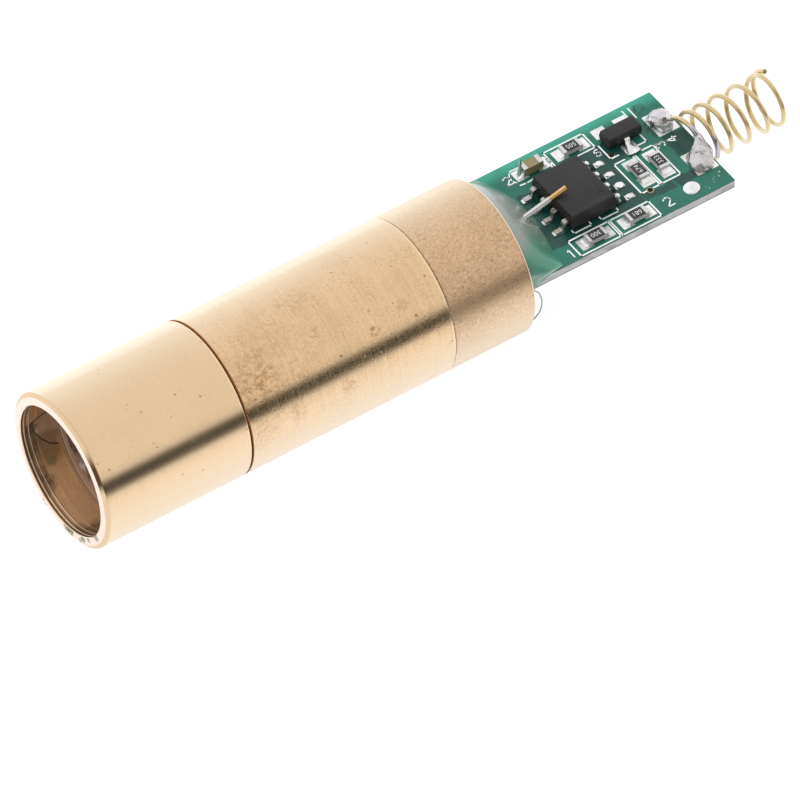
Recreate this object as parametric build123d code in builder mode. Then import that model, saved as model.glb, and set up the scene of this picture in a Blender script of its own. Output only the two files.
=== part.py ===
from build123d import *
import math
import os

# A laser diode module: a turned brass barrel with the optics, a driver board and a battery spring.
# The barrel's axis is X and the light leaves towards -X, through the face at x = 0.
# +Z is the side of the board that carries the components. Lengths are in millimetres.

# Barrel sections
barrel_radius = 6.0
front_length = 12.2
middle_length = 17.2
rear_length = 6.8
rim_chamfer_depth = 0.2
rim_chamfer_width = 0.4
rear_rim_round = 0.15
front_seam_chamfer = 0.12
rear_seam_chamfer = 0.06
spigot_depth = 1.4
front_spigot_length = 4.0
rear_spigot_length = 2.8
fit_gap = 0.05

# Front bore and line lens
front_wall = 0.95
bore_recess = 3.3
light_step = 1.65
lens_pocket_step = 0.25
line_lens_holder_wall = 0.4
line_lens_thickness = 1.2
line_lens_lip = 0.3
line_rod_radius = 1.4
line_rod_share = 1.4

# Collimator and filter
middle_wall = 2.4
lens_ring_inset = 0.8
lens_ring_length = 4.4
lens_ring_wall = 0.6
lens_ring_lip = 0.45
lens_ring_lip_length = 1.2
collimator_edge = 1.3
collimator_crown = 0.6
filter_space = 2.4
filter_thickness = 0.6

# Laser cavity
cavity_wall = 1.8
holder_length = 8.2
holder_inset = 2.0
expander_radius = 1.5
expander_edge = 0.8
expander_crown = 0.25
crystal_side = 1.5
crystal_length = 2.4
crystal_light_radius = 0.6

# Laser diode
header_radius = 2.8
header_thickness = 1.2
cap_radius = 1.75
cap_length = 2.3
cap_wall = 0.2
cap_window_radius = 0.8
window_radius = 1.2
window_thickness = 0.25
post_width = 1.2
post_height = 0.6
post_length = 1.3
emitter_width = 0.4
emitter_height = 0.15
emitter_length = 0.5
pin_radius = 0.21
pin_circle_radius = 1.0
pin_bend_radius = 0.6
pin_gap = 0.02
pin_straight_share = 0.3
pin_rise_share = 0.42
pin_reach = 3.2
lead_lift = 0.16
lead_rise_length = 5.36
lead_bend_side = 0.5
lead_tip_overhang = 1.06
lead_tip_side = 0.67
lead_tip_height = 2.1

# Circuit board
board_reach = 17.73
layout_reach = 17.73
board_depth = 5.17
board_top = 1.7
board_thickness = 0.8
board_side_gap = 0.01
rear_wall = 0.5
rear_wall_start = 0.4
pad_thickness = 0.05
via_radius = 0.2
test_pad_radius = 0.58

# Potting round the board at the rear mouth
potting_rim_inset = 0.25
potting_depth = 2.7
potting_chip_gap = 0.35
potting_end_height = 0.06
potting_end_inset = 0.12
potting_reach_below = 1.4
potting_end_below = 0.7

# Eight-lead driver chip
chip_width = 3.9
chip_length = 4.9
chip_stand = 0.1
chip_height = 1.4
chip_draft = 7
chip_lead_pitch = 1.27
chip_lead_width = 0.41
chip_lead_thickness = 0.2
chip_lead_span = 6.0
chip_foot = 0.62
chip_lead_bend = 0.18
chip_pad_inner = 2.2
chip_pad_outer = 3.4
chip_pad_width = 0.55
chip_mark_radius = 0.3
chip_mark_depth = 0.06
chip_mark_inset = 0.75
lead_slope = 0.15

# Three-lead transistor
transistor_length = 2.9
transistor_width = 1.3
transistor_stand = 0.06
transistor_height = 0.95
transistor_draft = 8
transistor_lead_offset = 0.95
transistor_lead_width = 0.42
transistor_lead_thickness = 0.12
transistor_lead_span = 2.5
transistor_foot = 0.35
transistor_lead_bend = 0.12
transistor_pad_inner = 0.7
transistor_pad_outer = 1.7
transistor_pad_width = 1.1

# Chip resistors and the chip capacitor
resistor_length = 1.6
resistor_width = 0.8
resistor_height = 0.45
resistor_end = 0.26
resistor_plating = 0.04
capacitor_length = 1.65
capacitor_width = 0.8
capacitor_height = 0.8
capacitor_end = 0.35
capacitor_plating = 0.05
part_pad_inner = 0.45
part_pad_outer = 1.42
part_pad_width = 1.05
solder_length = 0.45
solder_rise = 0.7
solder_hollow = 0.35
toe_solder_length = 0.28
toe_solder_rise = 0.6

# Battery spring, from its soldered start over the board to its closed free end
spring_wire_radius = 0.19
spring_radius = 2.03
spring_axis_height = 1.27
spring_rise = 0.18
spring_end_rise = 0.22
spring_lean = 0.3
spring_start_inset = 0.85
spring_start_angle = 22
spring_dip_angle = 135
spring_round_angle = 165
spring_pitch = 1.57
spring_soldered_pitch = 0.83
spring_soldered_turns = 1.54
spring_free_turns = 3.35
spring_end_turns = 0.875
spring_clearance = 0.02
spring_samples_per_turn = 20

# Solder mounds under the spring. A layer is height, distance from the board's end, y, and two radii
spring_pad_length = 1.8
spring_pad_width = 2.26
start_mound = [
    (0.0, 1.17, 2.25, 0.83, 1.1),
    (0.5, 1.13, 2.25, 0.78, 0.92),
    (0.9, 1.05, 2.1, 0.55, 0.62),
    (1.1, 0.98, 1.98, 0.28, 0.3),
]
landing_mound = [
    (0.0, 1.01, -2.4, 0.98, 1.1),
    (0.45, 0.81, -2.2, 0.8, 0.85),
    (0.85, 0.51, -1.72, 0.5, 0.52),
    (1.25, 0.33, -1.12, 0.26, 0.26),
]

# Places that follow from the sizes above
middle_start = front_length
rear_start = middle_start + middle_length
barrel_end = rear_start + rear_length
spigot_radius = barrel_radius - spigot_depth
socket_radius = spigot_radius + fit_gap
front_bore_radius = barrel_radius - front_wall
light_radius = front_bore_radius - light_step
lens_pocket_radius = front_bore_radius - lens_pocket_step
line_lens_radius = lens_pocket_radius - fit_gap - line_lens_holder_wall
line_rod_length = light_radius * line_rod_share
lens_ring_radius = barrel_radius - middle_wall
cavity_radius = barrel_radius - cavity_wall
rear_bore_radius = barrel_radius - rear_wall
potting_rim_radius = barrel_radius - potting_rim_inset
board_end = barrel_end + board_reach
board_length = board_reach + board_depth
board_start = barrel_end - board_depth
board_width = 2 * (math.sqrt(rear_bore_radius**2 - board_top**2) - board_side_gap)
board_bottom = board_top - board_thickness
pad_top = board_top + pad_thickness
lens_pocket_start = bore_recess + line_lens_lip
lens_seat = lens_pocket_start + line_lens_thickness
spigot_start = middle_start - front_spigot_length
rear_spigot_start = rear_start - rear_spigot_length
lens_ring_start = spigot_start + lens_ring_inset
collimator_start = lens_ring_start + lens_ring_lip_length
filter_seat = lens_ring_start + lens_ring_length + filter_space
holder_end = rear_start - holder_inset
cavity_start = holder_end - holder_length
header_start = holder_end - header_thickness
cap_start = header_start - cap_length
crystal_start = cap_start - fit_gap - crystal_length
expander_seat = cavity_start + expander_edge + expander_crown
pin_room = board_start - holder_end

# Places on the board: distance from the barrel's end, y, and the turn of a part
far_edge = board_width / 2
near_edge = -board_width / 2
spread = board_reach / layout_reach
chip_centre = (7.15 * spread, -0.44)
transistor_centre = (13.4 * spread, far_edge - 2.52)
capacitor_place = (6.35 * spread, far_edge - 1.47, 0)
resistor_places = [
    (9.8 * spread, far_edge - 1.47, 0),
    (6.3 * spread, near_edge + 0.92, 0),
    (9.85 * spread, near_edge + 0.92, 0),
    (12.45 * spread, -0.87, 90),
    (14.17 * spread, -0.92, 90),
]
potting_reach = chip_centre[0] - chip_lead_span / 2 - potting_chip_gap
lead_tip_x = barrel_end + chip_centre[0] - chip_width / 2 + lead_tip_overhang
via_places = [(11.9 * spread, 1.75), (12.2 * spread, -2.65)]
test_pad_place = (board_reach - 3.08, near_edge + 1.02)
spring_pads = [(board_reach - 1.1, 2.28), (board_reach - 1.03, -2.38)]


def turned_profile(points):
    """A closed half section of points (x, radius), to be turned about the barrel's axis."""
    with BuildSketch(Plane.XZ) as profile:
        with BuildLine():
            Polyline(*points, close=True)
        make_face()
    return profile.sketch


def crown_arc(rim, crown, radius):
    """A spherical crown's half section, from its rim at x = rim to its top on the axis."""
    ball = (crown**2 + radius**2) / (2 * crown)
    half_way = crown - math.copysign(abs(ball) - math.sqrt(ball**2 - radius**2 / 4), crown)
    return ThreePointArc((rim, radius), (rim + half_way, radius / 2), (rim + crown, 0))


def lens_profile(start, radius, edge, crown_radius, front_crown, back_crown):
    """A lens's half section: a flat rim of the given edge thickness, with crowned faces inside it."""
    end = start + edge
    with BuildSketch(Plane.XZ) as profile:
        with BuildLine():
            front = crown_arc(start, -front_crown, crown_radius)
            if back_crown:
                back = crown_arc(end, back_crown, crown_radius)
                Polyline(back @ 0, (end, radius), (start, radius), front @ 0)
                Line(back @ 1, front @ 1)
            else:
                Polyline(front @ 1, (end, 0), (end, radius), (start, radius), front @ 0)
        make_face()
    return profile.sketch


def outer_edge(part, place):
    """The widest round edge of a turned part in the plane x = place."""
    edges = part.edges().filter_by(GeomType.CIRCLE)
    at_place = edges.filter_by(lambda edge: abs(edge.center().X - place) < 1e-4)
    return at_place.sort_by(SortBy.RADIUS)[-1:]


def bent_lead_profile(plane, inner, outer, foot, rise, thickness, bend):
    """The side section of a gull-wing lead: out of the body, down, and along the pad."""
    shoulder = outer - foot - rise * lead_slope
    middle = thickness / 2
    with BuildSketch(plane) as profile:
        with BuildLine() as path:
            FilletPolyline(
                (inner, rise),
                (shoulder, rise),
                (outer - foot, middle),
                (outer, middle),
                radius=bend,
            )
        trace(path.edges(), line_width=thickness)
    return profile.sketch


def solder_profile(plane, rise, reach):
    """The side section of a solder fillet: up the end of a part, and out along its pad."""
    with BuildSketch(plane) as profile:
        with BuildLine():
            Line((0, 0), (0, rise))
            ThreePointArc(
                (0, rise),
                (reach * solder_hollow, rise * solder_hollow),
                (reach, 0),
            )
            Line((reach, 0), (0, 0))
        make_face()
    return profile.sketch


def board_plane(height):
    """A plane over the board at a height, its origin above the barrel's end."""
    return Plane(origin=(barrel_end, 0, height))


def side_plane(x, y, turn):
    """A plane that stands on the board's pads at (x, y), its x along turn and its y up."""
    direction = Vector(math.cos(math.radians(turn)), math.sin(math.radians(turn)), 0)
    foot = (barrel_end + x, y, pad_top)
    return Plane(origin=foot, x_dir=direction, z_dir=direction.cross(Vector(0, 0, 1)))


def beside(place, turn, distance):
    """The point at a distance from a place on the board, in the direction turn."""
    angle = math.radians(turn)
    return (place[0] + distance * math.cos(angle), place[1] + distance * math.sin(angle))


# Front barrel: open bore, seat of the line lens and socket for the middle barrel's spigot
with BuildPart() as front_barrel:
    add(
        turned_profile(
            [
                (0, front_bore_radius),
                (0, barrel_radius - rim_chamfer_width),
                (rim_chamfer_depth, barrel_radius),
                (front_length, barrel_radius),
                (front_length, socket_radius),
                (spigot_start - fit_gap, socket_radius),
                (spigot_start - fit_gap, light_radius),
                (lens_seat, light_radius),
                (lens_seat, lens_pocket_radius),
                (bore_recess, lens_pocket_radius),
                (bore_recess, front_bore_radius),
            ]
        )
    )
    revolve(axis=Axis.X)
    chamfer(outer_edge(front_barrel, front_length), front_seam_chamfer)

# Line lens: a flat disc with a half-round rod across its back, which spreads the light into a line
with BuildPart() as line_lens:
    with BuildSketch(Plane.YZ.offset(lens_pocket_start)):
        Circle(line_lens_radius)
    extrude(amount=line_lens_thickness)
    with BuildSketch(Plane.XZ):
        with BuildLine():
            rod = ThreePointArc(
                (lens_seat, -line_rod_radius),
                (lens_seat + line_rod_radius, 0),
                (lens_seat, line_rod_radius),
            )
            Line(rod @ 1, rod @ 0)
        make_face()
    extrude(amount=line_rod_length / 2, both=True)

# Ring that holds the line lens behind a narrow lip
with BuildPart() as line_lens_holder:
    add(
        turned_profile(
            [
                (bore_recess, line_lens_radius - line_lens_lip),
                (bore_recess, lens_pocket_radius - fit_gap),
                (lens_seat, lens_pocket_radius - fit_gap),
                (lens_seat, line_lens_radius),
                (lens_pocket_start, line_lens_radius),
                (lens_pocket_start, line_lens_radius - line_lens_lip),
            ]
        )
    )
    revolve(axis=Axis.X)

# Middle barrel: spigot, threaded bore of the collimator, filter seat and laser cavity
with BuildPart() as middle_barrel:
    add(
        turned_profile(
            [
                (spigot_start, lens_ring_radius),
                (spigot_start, spigot_radius),
                (middle_start, spigot_radius),
                (middle_start, barrel_radius),
                (rear_start, barrel_radius),
                (rear_start, socket_radius),
                (rear_spigot_start - fit_gap, socket_radius),
                (rear_spigot_start - fit_gap, cavity_radius),
                (cavity_start, cavity_radius),
                (cavity_start, expander_radius),
                (filter_seat, expander_radius),
                (filter_seat, lens_ring_radius),
            ]
        )
    )
    revolve(axis=Axis.X)
    chamfer(outer_edge(middle_barrel, middle_start), front_seam_chamfer)
    chamfer(outer_edge(middle_barrel, rear_start), rear_seam_chamfer)

# Rear barrel: spigot and the wide mouth that the board enters
with BuildPart() as rear_barrel:
    add(
        turned_profile(
            [
                (rear_spigot_start, cavity_radius),
                (rear_spigot_start, spigot_radius),
                (rear_start, spigot_radius),
                (rear_start, barrel_radius),
                (barrel_end, barrel_radius),
                (barrel_end, rear_bore_radius),
                (board_start - rear_wall_start, rear_bore_radius),
                (board_start - rear_wall_start, cavity_radius),
            ]
        )
    )
    revolve(axis=Axis.X)
    chamfer(outer_edge(rear_barrel, rear_start), rear_seam_chamfer)
    fillet(outer_edge(rear_barrel, barrel_end), rear_rim_round)

# Threaded ring that carries the collimating lens against its lip
with BuildPart() as lens_ring:
    add(
        turned_profile(
            [
                (lens_ring_start, lens_ring_radius - lens_ring_wall - lens_ring_lip),
                (lens_ring_start, lens_ring_radius - fit_gap),
                (lens_ring_start + lens_ring_length, lens_ring_radius - fit_gap),
                (lens_ring_start + lens_ring_length, lens_ring_radius - lens_ring_wall),
                (collimator_start, lens_ring_radius - lens_ring_wall),
                (collimator_start, lens_ring_radius - lens_ring_wall - lens_ring_lip),
            ]
        )
    )
    revolve(axis=Axis.X)

# Collimating lens
with BuildPart() as collimating_lens:
    add(
        lens_profile(
            collimator_start,
            lens_ring_radius - lens_ring_wall - fit_gap,
            collimator_edge,
            lens_ring_radius - lens_ring_wall - lens_ring_lip - fit_gap,
            collimator_crown,
            collimator_crown,
        )
    )
    revolve(axis=Axis.X)

# Infrared filter, glued on its seat in the middle barrel
with BuildPart() as infrared_filter:
    with BuildSketch(Plane.YZ.offset(filter_seat)):
        Circle(lens_ring_radius - fit_gap)
    extrude(amount=-filter_thickness)

# Holder of the expander lens, the crystal and the diode
with BuildPart() as crystal_holder:
    add(
        turned_profile(
            [
                (cavity_start, expander_radius),
                (cavity_start, cavity_radius - fit_gap),
                (holder_end, cavity_radius - fit_gap),
                (holder_end, header_radius + fit_gap),
                (header_start, header_radius + fit_gap),
                (header_start, cap_radius + fit_gap),
                (cap_start - fit_gap, cap_radius + fit_gap),
                (cap_start - fit_gap, crystal_light_radius),
                (expander_seat, crystal_light_radius),
                (expander_seat, expander_radius),
            ]
        )
    )
    revolve(axis=Axis.X)
    with BuildSketch(Plane.YZ.offset(crystal_start)):
        Rectangle(crystal_side, crystal_side)
    extrude(amount=crystal_length, mode=Mode.SUBTRACT)

# Expander lens, flat side on its seat
with BuildPart() as expander_lens:
    add(
        lens_profile(
            expander_seat - expander_edge,
            expander_radius - fit_gap,
            expander_edge,
            expander_radius - fit_gap * 4,
            expander_crown,
            0,
        )
    )
    revolve(axis=Axis.X)

# Laser crystal, a bonded block in its square pocket
with BuildPart() as laser_crystal:
    with BuildSketch(Plane.YZ.offset(crystal_start)):
        Rectangle(crystal_side, crystal_side)
    extrude(amount=crystal_length)

# Diode header with the post that carries the emitter
with BuildPart() as diode_header:
    with BuildSketch(Plane.YZ.offset(header_start)):
        Circle(header_radius)
    extrude(amount=header_thickness)
    with BuildSketch(Plane.YZ.offset(header_start)):
        Rectangle(post_width, post_height, align=(Align.CENTER, Align.MAX))
    extrude(amount=-post_length)

# Emitter, on the flat of the post
with BuildPart() as laser_emitter:
    with BuildSketch(Plane.YZ.offset(header_start - post_length)):
        Rectangle(emitter_width, emitter_height, align=(Align.CENTER, Align.MIN))
    extrude(amount=emitter_length)

# Cap of the diode, with a round hole for the light
with BuildPart() as diode_cap:
    add(
        turned_profile(
            [
                (cap_start, cap_window_radius),
                (cap_start, cap_radius),
                (header_start, cap_radius),
                (header_start, cap_radius - cap_wall),
                (cap_start + cap_wall, cap_radius - cap_wall),
                (cap_start + cap_wall, cap_window_radius),
            ]
        )
    )
    revolve(axis=Axis.X)

# Window glued behind the cap's hole
with BuildPart() as diode_window:
    with BuildSketch(Plane.YZ.offset(cap_start + cap_wall)):
        Circle(window_radius)
    extrude(amount=window_thickness)

# Circuit board with its two plated holes
with BuildPart() as circuit_board:
    with BuildSketch(board_plane(board_bottom)):
        with Locations((-board_depth, 0)):
            Rectangle(board_length, board_width, align=(Align.MIN, Align.CENTER))
        with Locations(*via_places):
            Circle(via_radius, mode=Mode.SUBTRACT)
    extrude(amount=board_thickness)

# Two diode pins, bent up to the underside of the board
pin_level = board_bottom - pin_radius - pin_gap
with BuildPart() as diode_pins:
    for side in (-1, 1):
        across = side * pin_circle_radius
        with BuildLine() as pin_path:
            FilletPolyline(
                (holder_end, across, 0),
                (holder_end + pin_room * pin_straight_share, across, 0),
                (board_start - pin_room * (1 - pin_straight_share - pin_rise_share), across, pin_level),
                (board_start + pin_reach, across, pin_level),
                radius=pin_bend_radius,
            )
        with BuildSketch(Plane(origin=pin_path.line @ 0, z_dir=pin_path.line % 0)):
            Circle(pin_radius)
        sweep(path=pin_path.line)

# The third lead: over the board, out of the potting and up across the driver chip
lead_level = board_top + pin_radius + lead_lift
with BuildPart() as diode_lead:
    with BuildLine() as lead_path:
        FilletPolyline(
            (holder_end, 0, pin_circle_radius),
            (holder_end + pin_room * pin_straight_share, 0, pin_circle_radius),
            (holder_end + pin_room * (pin_straight_share + pin_rise_share), 0, lead_level),
            (lead_tip_x - lead_rise_length, -lead_bend_side, lead_level),
            (lead_tip_x, -lead_tip_side, board_top + lead_tip_height),
            radius=pin_bend_radius,
        )
    with BuildSketch(Plane(origin=lead_path.line @ 0, z_dir=lead_path.line % 0)):
        Circle(pin_radius)
    sweep(path=lead_path.line)

# Places of the chip's leads: x side, y
chip_rows = [(side, (row - 1.5) * chip_lead_pitch) for side in (-1, 1) for row in range(4)]
transistor_rows = [(90, -transistor_lead_offset), (90, transistor_lead_offset), (-90, 0)]
chip_part_places = [*resistor_places, capacitor_place]

# Tinned pads on the board: chip, transistor, chip parts, spring and test pad
with BuildPart() as board_pads:
    with BuildSketch(board_plane(board_top)):
        for side, along in chip_rows:
            reach = side * (chip_pad_inner + chip_pad_outer) / 2
            with Locations((chip_centre[0] + reach, chip_centre[1] + along)):
                Rectangle(chip_pad_outer - chip_pad_inner, chip_pad_width)
        for turn, along in transistor_rows:
            foot = (transistor_centre[0] + along, transistor_centre[1])
            middle = beside(foot, turn, (transistor_pad_inner + transistor_pad_outer) / 2)
            with Locations(middle):
                Rectangle(transistor_pad_width, transistor_pad_outer - transistor_pad_inner)
        for x, y, turn in chip_part_places:
            for end in (0, 180):
                middle = beside((x, y), turn + end, (part_pad_inner + part_pad_outer) / 2)
                with Locations(Location(middle, turn)):
                    Rectangle(part_pad_outer - part_pad_inner, part_pad_width)
        with Locations(*spring_pads):
            Rectangle(spring_pad_length, spring_pad_width)
        with Locations(test_pad_place):
            Circle(test_pad_radius)
    extrude(amount=pad_thickness)

# Driver chip: a moulded body with drafted sides and a round mark at one corner
chip_base = pad_top + chip_stand
chip_parting = chip_base + chip_height / 2
with BuildPart() as driver_chip:
    with BuildSketch(board_plane(chip_parting)):
        with Locations(chip_centre):
            Rectangle(chip_width, chip_length)
    extrude(amount=chip_height / 2, taper=chip_draft)
    with BuildSketch(board_plane(chip_parting)):
        with Locations(chip_centre):
            Rectangle(chip_width, chip_length)
    extrude(amount=-chip_height / 2, taper=chip_draft)
    with BuildSketch(board_plane(chip_base + chip_height)):
        mark = (
            chip_centre[0] + chip_width / 2 - chip_mark_inset,
            chip_centre[1] - chip_length / 2 + chip_mark_inset,
        )
        with Locations(mark):
            Circle(chip_mark_radius)
    extrude(amount=-chip_mark_depth, mode=Mode.SUBTRACT)

# The chip's gull-wing leads
with BuildPart() as chip_leads:
    for side, along in chip_rows:
        turn = 0 if side > 0 else 180
        stand = side_plane(chip_centre[0], chip_centre[1] + along, turn)
        lead = bent_lead_profile(
            stand,
            chip_width / 2,
            chip_lead_span / 2,
            chip_foot,
            chip_parting - pad_top,
            chip_lead_thickness,
            chip_lead_bend,
        )
        extrude(lead, amount=chip_lead_width / 2, both=True)

# Transistor: a small moulded body with drafted sides
transistor_base = pad_top + transistor_stand
transistor_parting = transistor_base + transistor_height / 2
with BuildPart() as transistor:
    with BuildSketch(board_plane(transistor_parting)):
        with Locations(transistor_centre):
            Rectangle(transistor_length, transistor_width)
    extrude(amount=transistor_height / 2, taper=transistor_draft)
    with BuildSketch(board_plane(transistor_parting)):
        with Locations(transistor_centre):
            Rectangle(transistor_length, transistor_width)
    extrude(amount=-transistor_height / 2, taper=transistor_draft)

# The transistor's three leads
with BuildPart() as transistor_leads:
    for turn, along in transistor_rows:
        stand = side_plane(transistor_centre[0] + along, transistor_centre[1], turn)
        lead = bent_lead_profile(
            stand,
            transistor_width / 2,
            transistor_lead_span / 2,
            transistor_foot,
            transistor_parting - pad_top,
            transistor_lead_thickness,
            transistor_lead_bend,
        )
        extrude(lead, amount=transistor_lead_width / 2, both=True)


def chip_part(place, length, width, height, end, plating):
    """A chip part's ceramic body and its two plated ends, which wrap the body's ends."""
    x, y, turn = place
    stand = Location((barrel_end + x, y, pad_top), (0, 0, turn))
    with BuildPart() as body:
        with Locations(stand), Locations((0, 0, plating)):
            Box(
                length - plating * 2,
                width,
                height - plating * 2,
                align=(Align.CENTER, Align.CENTER, Align.MIN),
            )
    with BuildPart() as ends:
        with Locations(stand), Locations((-length / 2, 0, 0)):
            Box(end, width, height, align=(Align.MIN, Align.CENTER, Align.MIN))
        with Locations(stand), Locations((length / 2, 0, 0)):
            Box(end, width, height, align=(Align.MAX, Align.CENTER, Align.MIN))
        add(body.part, mode=Mode.SUBTRACT)
    return body, ends


# Five chip resistors and their ends
resistors = [
    chip_part(
        place,
        resistor_length,
        resistor_width,
        resistor_height,
        resistor_end,
        resistor_plating,
    )
    for place in resistor_places
]

# Chip capacitor and its ends
capacitor, capacitor_ends = chip_part(
    capacitor_place,
    capacitor_length,
    capacitor_width,
    capacitor_height,
    capacitor_end,
    capacitor_plating,
)

# Solder fillets at the ends of the chip parts and at the toes of the leads
with BuildPart() as solder_joints:
    for x, y, turn in chip_part_places:
        tall = (x, y, turn) == capacitor_place
        length = capacitor_length if tall else resistor_length
        height = capacitor_height if tall else resistor_height
        for end in (0, 180):
            foot = beside((x, y), turn + end, length / 2)
            stand = side_plane(foot[0], foot[1], turn + end)
            joint = solder_profile(stand, height * solder_rise, solder_length)
            extrude(joint, amount=resistor_width / 2, both=True)
    for side, along in chip_rows:
        turn = 0 if side > 0 else 180
        toe = chip_centre[0] + side * chip_lead_span / 2
        stand = side_plane(toe, chip_centre[1] + along, turn)
        joint = solder_profile(stand, chip_lead_thickness * toe_solder_rise, toe_solder_length)
        extrude(joint, amount=chip_lead_width / 2, both=True)
    for turn, along in transistor_rows:
        foot = (transistor_centre[0] + along, transistor_centre[1])
        toe = beside(foot, turn, transistor_lead_span / 2)
        stand = side_plane(toe[0], toe[1], turn)
        joint = solder_profile(stand, transistor_lead_thickness * toe_solder_rise, toe_solder_length)
        extrude(joint, amount=transistor_lead_width / 2, both=True)

# Stations of the battery spring: turned angle in degrees, x, height of the coil's axis and lean
spring_start = board_end - spring_start_inset
dip_x = spring_start + spring_pitch * (spring_dip_angle - spring_start_angle) / 360
round_x = board_end + spring_wire_radius + spring_clearance
soldered_angle = spring_round_angle + spring_soldered_turns * 360
soldered_x = round_x + spring_soldered_pitch * spring_soldered_turns
free_angle = soldered_angle + spring_free_turns * 360
free_x = soldered_x + spring_pitch * spring_free_turns
end_angle = free_angle + spring_end_turns * 360
end_x = free_x - spring_pitch * (1 - spring_end_turns) + 2 * spring_wire_radius + spring_clearance
free_height = spring_axis_height + spring_rise
spring_stations = [
    (spring_start_angle, spring_start, spring_axis_height, 0),
    (spring_dip_angle, dip_x, spring_axis_height, 0),
    (spring_round_angle, round_x, spring_axis_height, 0),
    (soldered_angle, soldered_x, spring_axis_height, spring_lean / 2),
    (free_angle, free_x, free_height, spring_lean),
    (end_angle, end_x, free_height + spring_end_rise, spring_lean),
]


def spring_point(angle):
    """The point of the spring's wire at a turned angle, from the stations on each side of it."""
    for before, after in zip(spring_stations, spring_stations[1:]):
        if angle <= after[0] + 1e-9:
            break
    share = (angle - before[0]) / (after[0] - before[0])
    x, height, lean = (a + share * (b - a) for a, b in zip(before[1:], after[1:]))
    turned = math.radians(angle)
    return (
        x - lean * math.cos(turned),
        spring_radius * math.cos(turned),
        height + spring_radius * math.sin(turned),
    )


# Battery spring: starts in a solder mound, arches over the board, rounds its end and coils away
spring_samples = round((end_angle - spring_start_angle) / 360 * spring_samples_per_turn)
spring_step = (end_angle - spring_start_angle) / spring_samples
with BuildPart() as battery_spring:
    with BuildLine() as spring_path:
        Spline(*[spring_point(spring_start_angle + spring_step * i) for i in range(spring_samples + 1)])
    with BuildSketch(Plane(origin=spring_path.line @ 0, z_dir=spring_path.line % 0)):
        Circle(spring_wire_radius)
    sweep(path=spring_path.line)

# Solder mounds that hold the spring on the board
with BuildPart() as spring_solder:
    for mound in (start_mound, landing_mound):
        for height, inset, y, half_length, half_width in mound:
            with BuildSketch(board_plane(pad_top + height)):
                with Locations((board_reach - inset, y)):
                    Ellipse(half_length, half_width)
        loft()
    add(battery_spring.part, mode=Mode.SUBTRACT)

# Potting: fills the rear mouth, slopes down to the board and closes round the lead
potting_half_chord = math.sqrt(potting_rim_radius**2 - board_bottom**2)
potting_end_half_width = board_width / 2 - potting_end_inset
with BuildPart() as rear_potting:
    with BuildSketch(Plane.YZ.offset(barrel_end)):
        Circle(rear_bore_radius)
    extrude(amount=-potting_depth)
    for over, reach, end_height in (
        (1, potting_reach, board_top + potting_end_height),
        (-1, potting_reach_below, board_bottom - potting_end_below),
    ):
        with BuildSketch(Plane.YZ.offset(barrel_end)):
            with BuildLine():
                rim = ThreePointArc(
                    (-potting_half_chord, board_bottom),
                    (0, over * potting_rim_radius),
                    (potting_half_chord, board_bottom),
                )
                Line(rim @ 1, rim @ 0)
            make_face()
        with BuildSketch(Plane.YZ.offset(barrel_end + reach)):
            with BuildLine():
                end_arc = ThreePointArc(
                    (-potting_end_half_width, board_bottom),
                    (0, end_height),
                    (potting_end_half_width, board_bottom),
                )
                Line(end_arc @ 1, end_arc @ 0)
            make_face()
        loft()
    add(circuit_board.part, mode=Mode.SUBTRACT)
    add(board_pads.part, mode=Mode.SUBTRACT)
    add(diode_lead.part, mode=Mode.SUBTRACT)
    add(diode_pins.part, mode=Mode.SUBTRACT)

# Every piece by its name
pieces = {
    "front_barrel": front_barrel,
    "middle_barrel": middle_barrel,
    "rear_barrel": rear_barrel,
    "line_lens": line_lens,
    "line_lens_holder": line_lens_holder,
    "lens_ring": lens_ring,
    "collimating_lens": collimating_lens,
    "infrared_filter": infrared_filter,
    "crystal_holder": crystal_holder,
    "expander_lens": expander_lens,
    "laser_crystal": laser_crystal,
    "diode_header": diode_header,
    "laser_emitter": laser_emitter,
    "diode_cap": diode_cap,
    "diode_window": diode_window,
    "diode_pins": diode_pins,
    "diode_lead": diode_lead,
    "circuit_board": circuit_board,
    "board_pads": board_pads,
    "driver_chip": driver_chip,
    "chip_leads": chip_leads,
    "transistor": transistor,
    "transistor_leads": transistor_leads,
    "capacitor": capacitor,
    "capacitor_ends": capacitor_ends,
    "solder_joints": solder_joints,
    "battery_spring": battery_spring,
    "spring_solder": spring_solder,
    "rear_potting": rear_potting,
}
for number, (body, ends) in enumerate(resistors, start=1):
    pieces[f"resistor_{number}"] = body
    pieces[f"resistor_{number}_ends"] = ends

os.makedirs("parts", exist_ok=True)
for name, piece in pieces.items():
    piece.part.label = name
    export_step(piece.part, f"parts/{name}.step")
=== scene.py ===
"""Dresses the laser diode module: turned brass, optics, driver board, battery spring and potting."""

import math
from contextlib import contextmanager

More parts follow.
